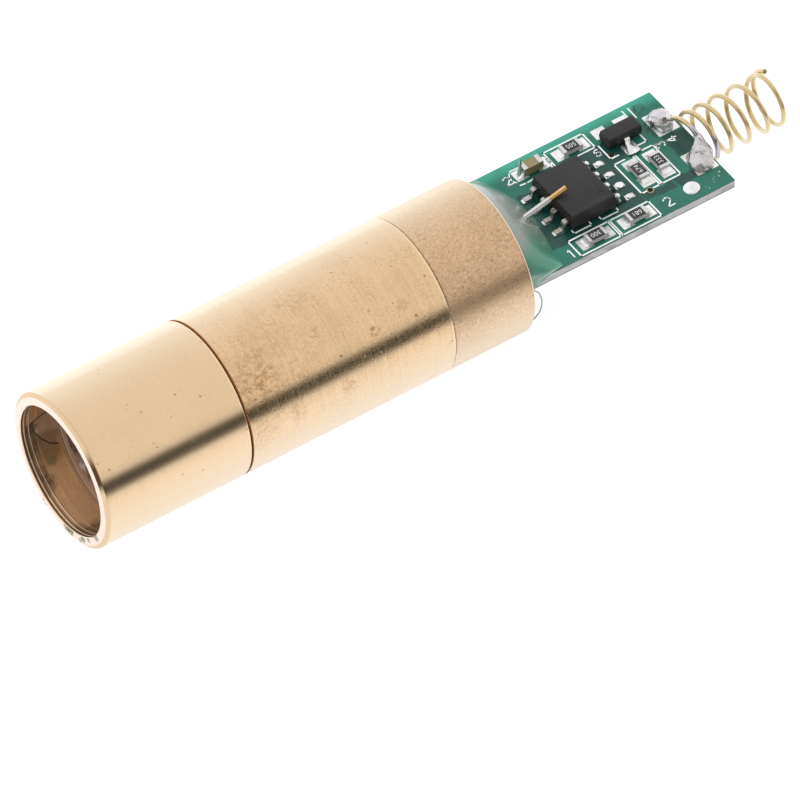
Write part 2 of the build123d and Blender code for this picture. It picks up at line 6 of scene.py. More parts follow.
import bpy
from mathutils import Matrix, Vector


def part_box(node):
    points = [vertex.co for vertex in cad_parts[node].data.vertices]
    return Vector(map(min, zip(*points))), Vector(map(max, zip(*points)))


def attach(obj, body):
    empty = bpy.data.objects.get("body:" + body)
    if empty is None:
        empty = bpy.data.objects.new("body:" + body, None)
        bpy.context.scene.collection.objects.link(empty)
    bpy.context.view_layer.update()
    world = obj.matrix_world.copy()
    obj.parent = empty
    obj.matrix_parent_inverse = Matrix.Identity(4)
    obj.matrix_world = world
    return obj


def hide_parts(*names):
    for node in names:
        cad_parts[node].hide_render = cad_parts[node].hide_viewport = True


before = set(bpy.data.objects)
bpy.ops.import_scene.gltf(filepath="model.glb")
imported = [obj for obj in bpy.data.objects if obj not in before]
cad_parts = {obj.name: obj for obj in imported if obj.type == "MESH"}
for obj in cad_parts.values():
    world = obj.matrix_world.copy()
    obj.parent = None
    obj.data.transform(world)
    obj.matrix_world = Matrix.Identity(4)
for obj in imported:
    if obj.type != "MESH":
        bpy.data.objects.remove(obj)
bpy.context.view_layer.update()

bl_info = {
    "name": "Laser diode module",
    "version": (1, 0, 0),
    "blender": (4, 5, 0),
    "location": "View3D > Sidebar > Laser module",
    "description": "Builds the finished pieces and materials of a brass laser diode module",
    "category": "Object",
}

MM = 0.001

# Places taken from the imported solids, in millimetres
FRONT_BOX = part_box("front_barrel")
MIDDLE_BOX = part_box("middle_barrel")
REAR_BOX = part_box("rear_barrel")
BOARD_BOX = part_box("circuit_board")
BARREL_RADIUS = FRONT_BOX[1][1] / MM
FRONT_END = FRONT_BOX[1][0] / MM
MIDDLE_END = MIDDLE_BOX[1][0] / MM
BARREL_END = REAR_BOX[1][0] / MM
BOARD_TOP = BOARD_BOX[1][2] / MM
BOARD_BOTTOM = BOARD_BOX[0][2] / MM
BOARD_END = BOARD_BOX[1][0] / MM
BOARD_HALF = BOARD_BOX[1][1] / MM


# Settings


def colour_setting(name, description, default):
    return bpy.props.FloatVectorProperty(
        name=name, description=description, subtype="COLOR", size=3, min=0, max=1, default=default
    )


def size_setting(name, description, default, low, high, unit="NONE"):
    return bpy.props.FloatProperty(
        name=name, description=description, default=default, min=low, max=high, unit=unit
    )


def count_setting(name, description, default, low, high):
    return bpy.props.IntProperty(name=name, description=description, default=default, min=low, max=high)


class LaserBrassSettings(bpy.types.PropertyGroup):
    front_colour: colour_setting("Front brass", "Colour of the polished front section", (0.785, 0.565, 0.35))
    middle_colour: colour_setting("Middle brass", "Colour of the turned middle section", (0.765, 0.53, 0.305))
    rear_colour: colour_setting("Rear brass", "Colour of the matte rear section", (0.64, 0.43, 0.255))
    bore_colour: colour_setting("Bore brass", "Colour of the tarnished threaded bore", (0.6, 0.345, 0.165))
    ridge_height: size_setting("Ridge height", "Height of the bore's ridges, in millimetres", 0.012, 0.0, 0.2)
    seam_width: size_setting("Seam width", "Width of the front seam's gap, in millimetres", 0.11, 0.0, 0.4)
    seam_depth: size_setting("Seam depth", "Depth of the gap between sections, in millimetres", 0.5, 0.0, 1.0)
    turns: count_setting("Faces round", "Faces round a turned section", 256, 32, 512)


class LaserBoardSettings(bpy.types.PropertyGroup):
    mask_colour: colour_setting("Solder mask", "Green of the mask over bare board", (0.01, 0.13, 0.09))
    copper_colour: colour_setting("Mask over copper", "Green of the mask over copper", (0.006, 0.05, 0.04))
    far_colour: colour_setting("Far mask", "Green of the far edge, lit from behind", (0.04, 0.33, 0.235))
    edge_colour: colour_setting("Cut edge", "Colour of the board's cut sides", (0.78, 0.8, 0.8))
    print_colour: colour_setting("Print", "White of the printed outlines and digits", (0.86, 0.88, 0.86))
    print_height: size_setting("Print height", "Thickness of the ink, in millimetres", 0.015, 0.005, 0.05)
    line_width: size_setting("Line width", "Width of the printed outlines, in millimetres", 0.115, 0.05, 0.4)
    tin_colour: colour_setting("Tin", "Colour of the plated ends and the lead's root", (0.72, 0.71, 0.69))
    plastic_colour: colour_setting("Plastic", "Colour of the moulded bodies", (0.0125, 0.0108, 0.0105))


class LaserWireSettings(bpy.types.PropertyGroup):
    spring_colour: colour_setting("Spring wire", "Colour of the spring's bare wire", (0.72, 0.56, 0.29))
    gold_colour: colour_setting("Gold lead", "Colour of the gilt end of the diode's lead", (0.83, 0.5, 0.16))
    wire_sides: count_setting("Wire sides", "Faces round a wire", 16, 6, 32)
    turn_samples: count_setting("Samples per turn", "Points along one turn of the spring", 48, 12, 96)


class LaserPottingSettings(bpy.types.PropertyGroup):
    resin_colour: colour_setting("Resin", "Colour of the potting where it is thick", (0.33, 0.375, 0.34))
    thin_colour: colour_setting("Thin resin", "Colour where the board shows through", (0.085, 0.29, 0.2))


class LaserStageSettings(bpy.types.PropertyGroup):
    camera_azimuth: size_setting("Camera azimuth", "Turn of the view, in degrees", -34.62, -180, 180)
    camera_elevation: size_setting("Camera elevation", "Height of the view, in degrees", 47.67, 0, 90)
    camera_distance: size_setting(
        "Camera distance", "Distance from the point aimed at, in metres", 0.80455, 0.1, 5, "LENGTH"
    )
    camera_lens: size_setting("Lens", "Focal length on a 36 mm frame, in millimetres", 518.44, 50, 1000)
    floor_colour: colour_setting("Floor", "Colour of the pale floor", (0.33, 0.33, 0.33))


# Shared steps of modelling


def deselect_all():
    if bpy.context.mode != "OBJECT":
        bpy.ops.object.mode_set(mode="OBJECT")
    bpy.ops.object.select_all(action="DESELECT")


def select_only(*pieces):
    deselect_all()
    for piece in pieces:
        piece.select_set(True)
    bpy.context.view_layer.objects.active = pieces[0]


def added(primitive, **settings):
    """What an operator adds, with nothing else selected."""
    deselect_all()
    primitive(**settings)
    return bpy.context.object


def apply_place(piece, scale=None):
    """Puts the selected piece's place, turn and scale into its mesh."""
    if scale:
        piece.scale = scale
    bpy.ops.object.transform_apply(location=True, rotation=True, scale=True)
    return piece


@contextmanager
def editing(mode="VERT"):
    """Opens the active piece's mesh for a few steps, with all of it selected."""
    bpy.ops.object.mode_set(mode="EDIT")
    bpy.ops.mesh.select_mode(type=mode)
    bpy.ops.mesh.select_all(action="SELECT")
    yield
    bpy.ops.object.mode_set(mode="OBJECT")


def close_mesh(threshold=1e-7):
    """Merges the doubles of the open mesh and turns its faces outwards."""
    bpy.ops.mesh.select_all(action="SELECT")
    bpy.ops.mesh.remove_doubles(threshold=threshold)
    bpy.ops.mesh.normals_make_consistent(inside=False)


def dress(piece, material):
    piece.data.materials.clear()
    piece.data.materials.append(material)


def settle(piece, name, material, nodes=(), smooth=30):
    """Puts the piece's place into its mesh, dresses it and fixes it to the module."""
    select_only(piece)
    apply_place(piece)
    if smooth:
        bpy.ops.object.shade_smooth_by_angle(angle=math.radians(smooth))
    piece.name = name
    piece.data.name = name
    dress(piece, material)
    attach(piece, "root")
    if nodes:
        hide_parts(*nodes)
    return piece


def join(pieces):
    select_only(*pieces)
    bpy.ops.object.join()
    return bpy.context.object


def apply_modifier(piece, kind, **settings):
    """Adds a modifier to the piece and applies it."""
    select_only(piece)
    modifier = piece.modifiers.new(kind.title(), kind)
    for name, value in settings.items():
        setattr(modifier, name, value)
    bpy.ops.object.modifier_apply(modifier=modifier.name)


def round_edges(piece, width, segments, angle):
    """Bevels the edges that turn by more than an angle in degrees, by a width in mm."""
    apply_modifier(
        piece, "BEVEL", width=width * MM, segments=segments, limit_method="ANGLE",
        angle_limit=math.radians(angle),
    )


def copy_of(node):
    """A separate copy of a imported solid, its loose triangles merged."""
    select_only(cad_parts[node])
    bpy.ops.object.duplicate()
    piece = bpy.context.object
    with editing():
        bpy.ops.mesh.remove_doubles(threshold=1e-7)
    piece.parent = None
    return piece


def without(piece, unwanted):
    """The piece less the vertices whose place, in mm, is unwanted."""
    select_only(piece)
    bpy.ops.object.mode_set(mode="EDIT")
    bpy.ops.mesh.select_mode(type="VERT")
    bpy.ops.mesh.select_all(action="DESELECT")
    bpy.ops.object.mode_set(mode="OBJECT")
    for vertex in piece.data.vertices:
        vertex.select = unwanted(vertex.co / MM)
    bpy.ops.object.mode_set(mode="EDIT")
    bpy.ops.mesh.delete(type="VERT")
    bpy.ops.object.mode_set(mode="OBJECT")
    return piece


def turned(profile, faces):
    """A ring about the barrel's axis: a circle drawn along a closed profile of (x, radius), in mm."""
    start, radius = profile[0]
    apply_place(added(
        bpy.ops.mesh.primitive_circle_add, vertices=faces, radius=radius * MM,
        location=(start * MM, 0, 0), rotation=(0, math.pi / 2, 0),
    ))
    with editing("EDGE"):
        for (x_a, r_a), (x_b, r_b) in zip(profile, profile[1:] + profile[:1]):
            bpy.ops.mesh.extrude_region_move(
                TRANSFORM_OT_translate={"value": ((x_b - x_a) * MM, 0, 0)}
            )
            scale = r_b / r_a
            bpy.ops.transform.resize(value=(1, scale, scale), center_override=(x_b * MM, 0, 0))
        close_mesh()
    return bpy.context.object


def rounded_box(low, high, bevel, segments=3):
    """A box between two corners, in mm, with rounded edges."""
    middle = [(a + b) / 2 * MM for a, b in zip(low, high)]
    size = [(b - a) * MM for a, b in zip(low, high)]
    piece = apply_place(added(bpy.ops.mesh.primitive_cube_add, size=1, location=middle), size)
    with editing():
        bpy.ops.mesh.bevel(offset=bevel * MM, segments=segments, affect="EDGES")
    return piece


def wire(points, radius, sides):
    """A round wire of the given radius through the points, in mm, closed at both ends."""
    piece = added(bpy.ops.curve.primitive_nurbs_path_add)
    curve = piece.data
    curve.splines.clear()
    run = curve.splines.new("POLY")
    run.points.add(len(points) - 1)
    for place, point in zip(run.points, points):
        place.co = (point[0] * MM, point[1] * MM, point[2] * MM, 1)
    curve.dimensions = "3D"
    curve.bevel_depth = radius * MM
    curve.bevel_resolution = sides // 4
    curve.use_fill_caps = True
    select_only(piece)
    bpy.ops.object.convert(target="MESH")
    with editing():
        close_mesh(1e-8)
    return bpy.context.object


def thread(name, points, radius, colour, roughness, grain):
    """A fine line that lies on a larger piece."""
    settle(wire(points, radius, 8), name, plain(name, colour, roughness, grain=grain), smooth=60)


def line_round(stations, steps, radius, start=0.0):
    """Points about the barrel's axis: stations of x in mm and the angle from +Y towards +Z in degrees."""
    points = []
    for (x, angle), (x_end, angle_end) in zip(stations, stations[1:]):
        for step in range(steps):
            share = step / steps
            turn = math.radians(angle + (angle_end - angle) * share)
            place = (start + x + (x_end - x) * share, radius * math.cos(turn), radius * math.sin(turn))
            points.append(place)
    return points


def mark_along(piece, name, points, values):
    """Stores on each vertex the value that belongs to the nearest point of a wire's path."""
    places = [Vector(point) * MM for point in points]
    layer = piece.data.attributes.new(name, "FLOAT", "POINT")
    for vertex, entry in zip(piece.data.vertices, layer.data):
        nearest = min(range(len(places)), key=lambda i: (places[i] - vertex.co).length_squared)
        entry.value = values[nearest]


def melted(pieces, voxel, smooth):
    """Runs the pieces together like solder: one skin over all of them, smoothed."""
    piece = join(pieces) if len(pieces) > 1 else pieces[0]
    apply_modifier(piece, "REMESH", mode="VOXEL", voxel_size=voxel * MM, use_smooth_shade=True)
    apply_modifier(piece, "SMOOTH", factor=0.6, iterations=smooth)
    return piece


def drop(place, radii, turn=0):
    """A round blob of solder: a sphere of three radii, in mm."""
    return apply_place(added(
        bpy.ops.mesh.primitive_uv_sphere_add, segments=24, ring_count=16, radius=MM,
        location=[c * MM for c in place], rotation=(0, 0, math.radians(turn)),
    ), radii)


def peak(place, turn, radii, height, sides):
    """A cone of solder, in mm, turned in radians."""
    return added(
        bpy.ops.mesh.primitive_cone_add, vertices=sides, radius1=radii[0] * MM, radius2=radii[1] * MM,
        depth=height * MM, location=[c * MM for c in place], rotation=turn,
    )


def disc(x, y, z, radius, height, sides):
    """A flat cylinder, in mm."""
    return added(
        bpy.ops.mesh.primitive_cylinder_add, vertices=sides, radius=radius * MM, depth=height * MM,
        location=(x * MM, y * MM, z * MM),
    )


# Shared steps of materials


class Value:
    """What a shader node puts out, with sums and products written as such."""

    def __init__(self, socket):
        self.socket = socket
        self.tree = socket.id_data

    def maths(self, operation, other=0.0):
        return put(self.tree, "Math", {0: self, 1: other}, operation=operation)[0]

    def __add__(self, other):
        return self.maths("ADD", other)

    def __sub__(self, other):
        return self.maths("SUBTRACT", other)

    def __mul__(self, other):
        return self.maths("MULTIPLY", other)


class Outputs:
    """What a shader node puts out, by a socket's name or number."""

    def __init__(self, node):
        self.sockets = node.outputs

    def __getitem__(self, key):
        return Value(self.sockets[key])


def feed(socket, value):
    """Gives a socket a value or another node's output. A colour may leave out its alpha."""
    if isinstance(value, Value):
        value.tree.links.new(value.socket, socket)
    elif socket.type == "RGBA":
        socket.default_value = (*value[:3], 1.0)
    else:
        socket.default_value = value


def put(tree, kind, inputs=None, **settings):
    """Adds a shader node. inputs maps a socket's name or number to what feeds it."""
    made = tree.nodes.new("ShaderNode" + kind)
    for name, value in settings.items():
        setattr(made, name, value)
    for name, value in (inputs or {}).items():
        feed(made.inputs[name], value)
    return Outputs(made)


def vector_maths(operation, first, second):
    return put(first.tree, "VectorMath", {0: first, 1: second}, operation=operation)


def scaled(tree, vector, level):
    return put(tree, "VectorMath", {0: vector, "Scale": level}, operation="SCALE")[0]


def blend(share, first, second):
    """A colour between two, by share."""
    return put(share.tree, "Mix", {0: share, 6: first, 7: second}, data_type="RGBA")[2]


def ramp(value, low, high):
    """0 below low and 1 above high, with a soft step between."""
    limits = {"Value": value, "From Min": low, "From Max": high}
    return put(value.tree, "MapRange", limits, interpolation_type="SMOOTHSTEP")[0]


def reach(value, low, high):
    """A ramp between two places in mm."""
    return ramp(value, low * MM, high * MM)


def between(value, low, high, outside, inside=0.0):
    """1 between two places in mm, and 0 beyond them."""
    return reach(value, low - outside, low + inside) * reach(value, high + outside, high - inside)


def axes_of(place):
    return put(place.tree, "SeparateXYZ", {0: place})


def stretched(place, *scale):
    return put(place.tree, "Mapping", {"Vector": place, "Scale": scale})[0]


def noise(place, scale, detail=2.0, roughness=0.5, given="Fac"):
    inputs = {"Vector": place, "Scale": scale, "Detail": detail, "Roughness": roughness}
    return put(place.tree, "TexNoise", inputs)[given]


def dots(place, scale, low, high):
    """Small spots in a random spread."""
    return ramp(put(place.tree, "TexVoronoi", {"Vector": place, "Scale": scale})["Distance"], low, high)


def new_group(name, inputs, outputs=("Colour", "Roughness", "Height")):
    """A shader node group: the place on the module, what it is given and the sockets of its result."""
    group = bpy.data.node_groups.new(name, "ShaderNodeTree")
    for label, default in inputs.items():
        kind = "Float" if isinstance(default, float) else {3: "Vector", 4: "Color"}[len(default)]
        socket = group.interface.new_socket(name=label, in_out="INPUT", socket_type="NodeSocket" + kind)
        socket.default_value = default
    for label in outputs:
        kind = "Color" if label == "Colour" else "Float"
        group.interface.new_socket(name=label, in_out="OUTPUT", socket_type="NodeSocket" + kind)
    place = put(group, "TexCoord")["Object"]
    return place, Outputs(group.nodes.new("NodeGroupInput")), group.nodes.new("NodeGroupOutput").inputs


def use_group(tree, name, inputs):
    """Places a node group in a material with its own values."""
    return put(tree, "Group", inputs, node_tree=bpy.data.node_groups[name])


# What the turned metal group is given beside its colour
TURNED_INPUTS = ("Line strength", "Cloud strength", "Grain strength", "Pits", "Stipple", "Roughness")

# Each brass finish: its value for each of those inputs, and the strength of its bump
BRASS_LOOKS = {
    "brass_front": (0.05, 0.1, 0.09, 0.7, 0.14, 0.235, 0.12),
    "brass_middle": (0.3, 0.24, 0.36, 1.0, 0.62, 0.25, 0.4),
    "brass_rear": (0.08, 0.3, 1.2, 0.7, 0.5, 0.36, 0.7),
    "brass_bore": (1.3, 1.3, 0.35, 0.8, 0.3, 0.4, 0.6),
    "brass_rim": (0.03, 0.06, 0.06, 0.4, 0.15, 0.35, 0.1),
    "brass_inside": (0.3, 0.1, 0.1, 0.2, 0.2, 0.3, 0.3),
}


def turned_metal_group():
    """Lathe marks round the axis, soft tarnish clouds and small dark pits."""
    place, given, result = new_group(
        "Turned metal", {"Colour": (0.8, 0.6, 0.35, 1), **dict.fromkeys(TURNED_INPUTS, 0.3)}
    )
    lines = noise(stretched(place, 9000, 120, 120), 1.0, 3.0)
    hair = noise(stretched(place, 26000, 500, 500), 1.0)
    clouds = noise(place, 260.0, 3.0, 0.6) - 0.5
    grain = (noise(place, 5200.0, 3.0, 0.75) - 0.5) * given["Grain strength"]
    chance = ramp(noise(place, 700.0, 1.0), 0.5, 0.66)
    pit = dots(place, 1500.0, 0.2, 0.06) * chance * given["Pits"]
    worn_spots = ramp(noise(place, 480.0, 3.0, 0.7), 0.42, 0.68)
    stipple = dots(place, 4200.0, 0.42, 0.14) * worn_spots * given["Stipple"]
    shade = (lines - 0.5) * given["Line strength"] + clouds * given["Cloud strength"] + grain
    dark = vector_maths("MULTIPLY", given["Colour"], (0.52, 0.46, 0.4))[0]
    lit = blend(stipple, scaled(place.tree, given["Colour"], shade + 1.0), dark)
    feed(result["Colour"], blend(pit, lit, dark))
    feed(result["Roughness"], given["Roughness"] - shade * 0.5 + pit * 0.3)
    height = (lines * 0.6 + hair * 0.4) * given["Line strength"] + grain
    feed(result["Height"], height - stipple * 0.6 - pit)


def solder_skin_group():
    """The uneven skin of solder and tinned metal: dull patches, ripples and flux stains."""
    place, given, result = new_group(
        "Solder skin",
        {
            "Colour": (0.7, 0.7, 0.7, 1), "Stain": (0.35, 0.3, 0.2, 1), "Stain amount": 0.3,
            "Roughness": 0.25,
        },
    )
    ripple = noise(place, 1500.0, 3.0, 0.6)
    stain = ramp(noise(place, 700.0), 0.5, 0.68) * given["Stain amount"]
    feed(result["Colour"], blend(stain, given["Colour"], given["Stain"]))
    feed(result["Roughness"], given["Roughness"] + ramp(ripple, 0.4, 0.7) * 0.25)
    feed(result["Height"], ripple)


def fine_grain_group():
    """The faint grain of a plain finish."""
    place, given, result = new_group(
        "Fine grain", {"Colour": (0.5, 0.5, 0.5, 1), "Grain": 0.2, "Scale": 3000.0}, ("Colour", "Height")
    )
    speckle = noise(place, given["Scale"], 3.0, 0.6)
    feed(result["Colour"], scaled(place.tree, given["Colour"], (speckle - 0.5) * given["Grain"] + 1.0))
    feed(result["Height"], speckle)


def uneven_spot_group():
    """A spot with an uneven edge, in metres: 1 within about a radius of its centre and 0 beyond it."""
    place, given, result = new_group(
        "Uneven spot", {"Centre": (0, 0, 0), "Radius": MM, "Soft edge": MM, "Noise scale": 900.0}, ("Share",)
    )
    radius = given["Radius"]
    gap = vector_maths("DISTANCE", place, given["Centre"])["Value"]
    uneven = (noise(place, given["Noise scale"], 3.0, 0.6) - 0.5) * 2.2
    feed(result["Share"], ramp(gap + uneven * radius, radius + given["Soft edge"], radius))


def tinned_patches_group():
    """The uneven edge between the bare and the tinned stretches of a wire."""
    place, given, result = new_group("Tinned patches", {"Tinned": 0.0}, ("Edge", "Unevenness", "Height"))
    patch = noise(place, 1600.0, 3.0, 0.6)
    uneven = (patch - 0.5) * 0.6
    feed(result["Edge"], ramp(given["Tinned"] + uneven, 0.4, 0.6))
    feed(result["Unevenness"], uneven)
    feed(result["Height"], patch)


def new_material(name):
    """An empty material, and the place on the module that its patterns follow."""
    material = bpy.data.materials.new(name)
    material.use_nodes = True
    material.node_tree.nodes.clear()
    return material, put(material.node_tree, "TexCoord")["Object"]


def shade(material, colour, roughness, metallic=0.0, bump=None, others=None):
    """Gives the material its shader. bump holds a height, a strength and a distance in mm."""
    tree = material.node_tree
    inputs = {"Base Color": colour, "Roughness": roughness, "Metallic": metallic, **(others or {})}
    if bump:
        height, strength, distance = bump
        surface = {"Height": height, "Strength": strength, "Distance": distance * MM}
        inputs["Normal"] = put(tree, "Bump", surface)[0]
    put(tree, "OutputMaterial", {0: put(tree, "BsdfPrincipled", inputs)[0]})
    return material


def facing(tree):
    """0 where a surface faces the eye and 1 where it turns away."""
    return put(tree, "LayerWeight", {"Blend": 0.5})["Facing"]


def near_place(place, centre, radius, soft):
    """1 within about a radius of a place, in mm, and 0 beyond it, with an uneven edge."""
    spot = {
        "Centre": [c * MM for c in centre], "Radius": radius * MM, "Soft edge": soft * MM,
        "Noise scale": 900.0 / (radius + 0.3),
    }
    return use_group(place.tree, "Uneven spot", spot)["Share"]


def brass(name, colour, stains=(), painted_light_rings=(), edge_sheen=0.8, mottled=(0.4, 0.62), metallic=1.0):
    """Turned brass, with a painted sheen that makes it paler where it turns away.

    Stains are (centre, radius, colour, strength) and rings of painted highlights and shade round the axis
    (low x, high x, colour, strength), in mm. Where a noise lies under the first mottled level, a stain
    doesn't show.
    """
    material, place = new_material(name)
    *look, bump_strength = BRASS_LOOKS[name]
    worn = use_group(place.tree, "Turned metal", {"Colour": colour, **dict(zip(TURNED_INPUTS, look))})
    shown = worn["Colour"]
    mottle = ramp(noise(place, 3400.0, 4.0, 0.75), *mottled)
    for centre, radius, tint, strength in stains:
        shown = blend(near_place(place, centre, radius, radius * 0.9) * strength * mottle, shown, tint)
    # Rings of painted highlights and painted shade round the axis
    along = axes_of(place)["X"]
    for low, high, tint, strength in painted_light_rings:
        shown = blend(between(along, low, high, 0.02, 0.01) * strength, shown, tint)
    # Painted sheen: the brass is painted paler towards its edges, where the surface turns away
    shown = blend(ramp(facing(place.tree), 0.08, 0.72) * edge_sheen, shown, (1.0, 0.85, 0.67))
    return shade(material, shown, worn["Roughness"], metallic, (worn["Height"], bump_strength, 0.02))


def tinned(name, colour, stain_amount, roughness, bump_strength=0.35, tint=None):
    """Tin or solder. tint changes its colour by the place."""
    material, place = new_material(name)
    given = {"Colour": colour, "Stain amount": stain_amount, "Roughness": roughness}
    skin = use_group(place.tree, "Solder skin", given)
    shown = tint(place, skin["Colour"]) if tint else skin["Colour"]
    return shade(material, shown, skin["Roughness"], 1.0, (skin["Height"], bump_strength, 0.05))


def plain(name, colour, roughness, metallic=0.0, grain=0.0, grain_scale=3000.0):
    """A plain finish with a faint grain in its colour and surface."""
    material, place = new_material(name)
    given = {"Colour": colour, "Grain": grain, "Scale": grain_scale}
    grained = use_group(place.tree, "Fine grain", given)
    bump = (grained["Height"], min(1.0, grain), 0.02)
    return shade(material, grained["Colour"], roughness, metallic, bump)


def glass(name, colour, roughness=0.02):
    material, _ = new_material(name)
    return shade(material, colour, roughness, others={"IOR": 1.5, "Transmission Weight": 1.0})


def two_metal_wire(name, bare, tin, bare_roughness, tin_roughness):
    """A wire whose attribute "tinned" says where it is tinned (1) or bare (0)."""
    material, place = new_material(name)
    share = put(place.tree, "Attribute", attribute_name="tinned")["Fac"]
    patches = use_group(place.tree, "Tinned patches", {"Tinned": share})
    edge = patches["Edge"]
    # Painted sheen: the bare wire is painted paler where it turns away from the eye
    paler = [colour + (pale - colour) * 0.6 for colour, pale in zip(bare, (1.0, 0.93, 0.76))]
    sheen_share = ramp(facing(place.tree) + patches["Unevenness"] * 0.5, 0.15, 0.75)
    rough = edge * (tin_roughness - bare_roughness) + bare_roughness
    shown = blend(edge, blend(sheen_share, bare, paler), tin)
    return shade(material, shown, rough, 1.0, (patches["Height"], 0.15, 0.03))


# Stage


class LASER_OT_stage(bpy.types.Operator):
    """Builds the floor, the lights and the camera"""

    bl_idname = "laser_module.stage"
    bl_label = "Stage"

    def execute(self, context):
        settings = context.scene.laser_stage
        context.scene.view_settings.view_transform = "Standard"
        self.add_floor(settings)
        self.add_world()
        self.add_lamp("key_softbox", (-0.15, 0.45, 0.75), 0.7, 5.0)
        self.add_lamp("fill_softbox", (-0.55, -0.45, 0.6), 0.6, 3.0)
        card, _ = new_material("card_black")
        shade(card, (0.006, 0.006, 0.006), 0.5, others={"Specular IOR Level": 0.0})
        self.add_card("low_dark_card", (0.05, -0.072, 0.0072), (90, 0, 0), (0.3, 0.0264), card)
        self.add_card("camera_card", (-0.21, -0.335, 0.44), (42.3, 0, -34.6), (0.5, 0.5), card)
        self.add_camera(context, settings)
        return {"FINISHED"}

    def add_floor(self, settings):
        floor = added(bpy.ops.mesh.primitive_plane_add, size=6, location=(0, 0, -BARREL_RADIUS * MM))
        floor.name = "floor"
        material, place = new_material("pale_floor")
        path = put(place.tree, "LightPath")
        seen = path["Is Camera Ray"].maths("MAXIMUM", path["Is Transmission Ray"])
        glow = seen * 0.86 + path["Is Glossy Ray"] * 0.76
        dull = {"Specular IOR Level": 0.0, "Emission Color": (1, 1, 1), "Emission Strength": glow}
        floor.data.materials.append(shade(material, settings.floor_colour, 0.9, others=dull))

    def add_world(self):
        world = bpy.data.worlds.new("studio")
        bpy.context.scene.world = world
        world.use_nodes = True
        tree = world.node_tree
        tree.nodes.clear()
        path = put(tree, "LightPath")
        seen = path["Is Camera Ray"].maths("MAXIMUM", path["Is Glossy Ray"])
        seen = seen.maths("MAXIMUM", path["Is Transmission Ray"])
        light = put(tree, "Background", {"Color": (1, 1, 1), "Strength": seen * 0.4 + 0.6})
        put(tree, "OutputWorld", {0: light[0]})

    def add_lamp(self, name, place, size, power):
        lamp = added(bpy.ops.object.light_add, type="AREA", location=place)
        lamp.name = name
        lamp.data.size = size
        lamp.data.energy = power
        lamp.visible_glossy = False
        aim = Vector((0.02, 0, 0))
        lamp.rotation_euler = (Vector(place) - aim).to_track_quat("Z", "Y").to_euler()

    def add_card(self, name, place, turn, size, material):
        """A dark card that shows only in reflections, so that bright metal keeps its shape."""
        turn = [math.radians(angle) for angle in turn]
        card = added(bpy.ops.mesh.primitive_plane_add, size=1, location=place, rotation=turn)
        card.name = name
        card.scale = (*size, 1)
        card.data.materials.append(material)
        for ray in ("camera", "diffuse", "shadow", "transmission"):
            setattr(card, "visible_" + ray, False)

    def add_camera(self, context, settings):
        elevation = math.radians(settings.camera_elevation)
        azimuth = math.radians(settings.camera_azimuth)
        aim = Vector((0.02327, -0.00786, 0))
        away = Vector((
            math.cos(elevation) * math.sin(azimuth),
            -math.cos(elevation) * math.cos(azimuth),
            math.sin(elevation),
        ))
        camera = added(
            bpy.ops.object.camera_add, location=aim + away * settings.camera_distance,
            rotation=(math.pi / 2 - elevation, 0, azimuth),
        )
        camera.name = "camera"
        camera.data.lens = settings.camera_lens
        camera.data.sensor_width = 36
        camera.data.clip_start = 0.01
        camera.data.clip_end = 20
        context.scene.camera = camera


# Brass


# Green and grey residue on the rim: centre and radius in mm, colour and strength
RIM_STAINS = [
    ((0.0, -1.1, -5.2), 0.28, (0.2, 0.24, 0.15), 0.85),
    ((0.0, -0.65, -5.25), 0.2, (0.13, 0.16, 0.1), 0.8),
    ((0.0, -0.9, -5.12), 0.16, (0.05, 0.055, 0.035), 0.95),
    ((0.0, -1.3, -5.0), 0.12, (0.05, 0.055, 0.04), 0.9),
    ((0.0, -2.7, -4.5), 0.2, (0.12, 0.15, 0.12), 0.85),
    ((0.0, -3.4, -3.95), 0.16, (0.14, 0.17, 0.16), 0.8),
    ((0.0, -2.4, -4.95), 0.14, (0.2, 0.24, 0.15), 0.7),
    ((0.0, -4.35, -2.75), 0.25, (0.16, 0.2, 0.16), 0.85),
    ((0.0, 2.25, -4.95), 0.1, (0.16, 0.2, 0.1), 0.8),
    ((0.0, 2.0, -5.2), 0.08, (0.16, 0.2, 0.1), 0.8),
    ((0.0, 3.6, -4.6), 0.08, (0.12, 0.1, 0.07), 0.8),
]

# Brown tarnish on the middle section, in the same form
MIDDLE_STAINS = [
    ((13.8, -3.5, 4.87), 1.0, (0.42, 0.21, 0.08), 0.5),
    ((14.9, -4.35, 4.13), 0.8, (0.42, 0.21, 0.08), 0.45),
    ((13.3, -4.56, 3.9), 0.8, (0.42, 0.21, 0.08), 0.5),
    ((17.1, -4.4, 4.0), 0.6, (0.44, 0.23, 0.1), 0.35),
    ((23.48, -4.49, 3.98), 0.26, (0.36, 0.19, 0.08), 0.8),
    ((20.35, -5.83, 1.43), 0.4, (0.4, 0.2, 0.08), 0.6),
    ((16.2, -5.8, 1.5), 0.5, (0.42, 0.22, 0.1), 0.5),
    ((13.2, -5.9, 0.9), 0.8, (0.42, 0.22, 0.1), 0.5),
    ((19.2, -0.24, 6.0), 0.9, (0.5, 0.28, 0.12), 0.4),
    ((23.75, 1.45, 5.8), 0.9, (0.5, 0.28, 0.12), 0.35),
    ((26.2, -3.97, 4.5), 0.35, (0.42, 0.22, 0.09), 0.5),
    ((16.0, -1.5, 5.8), 1.4, (0.5, 0.28, 0.12), 0.35),
    ((18.6, -3.2, 5.1), 1.0, (0.5, 0.28, 0.12), 0.3),
]
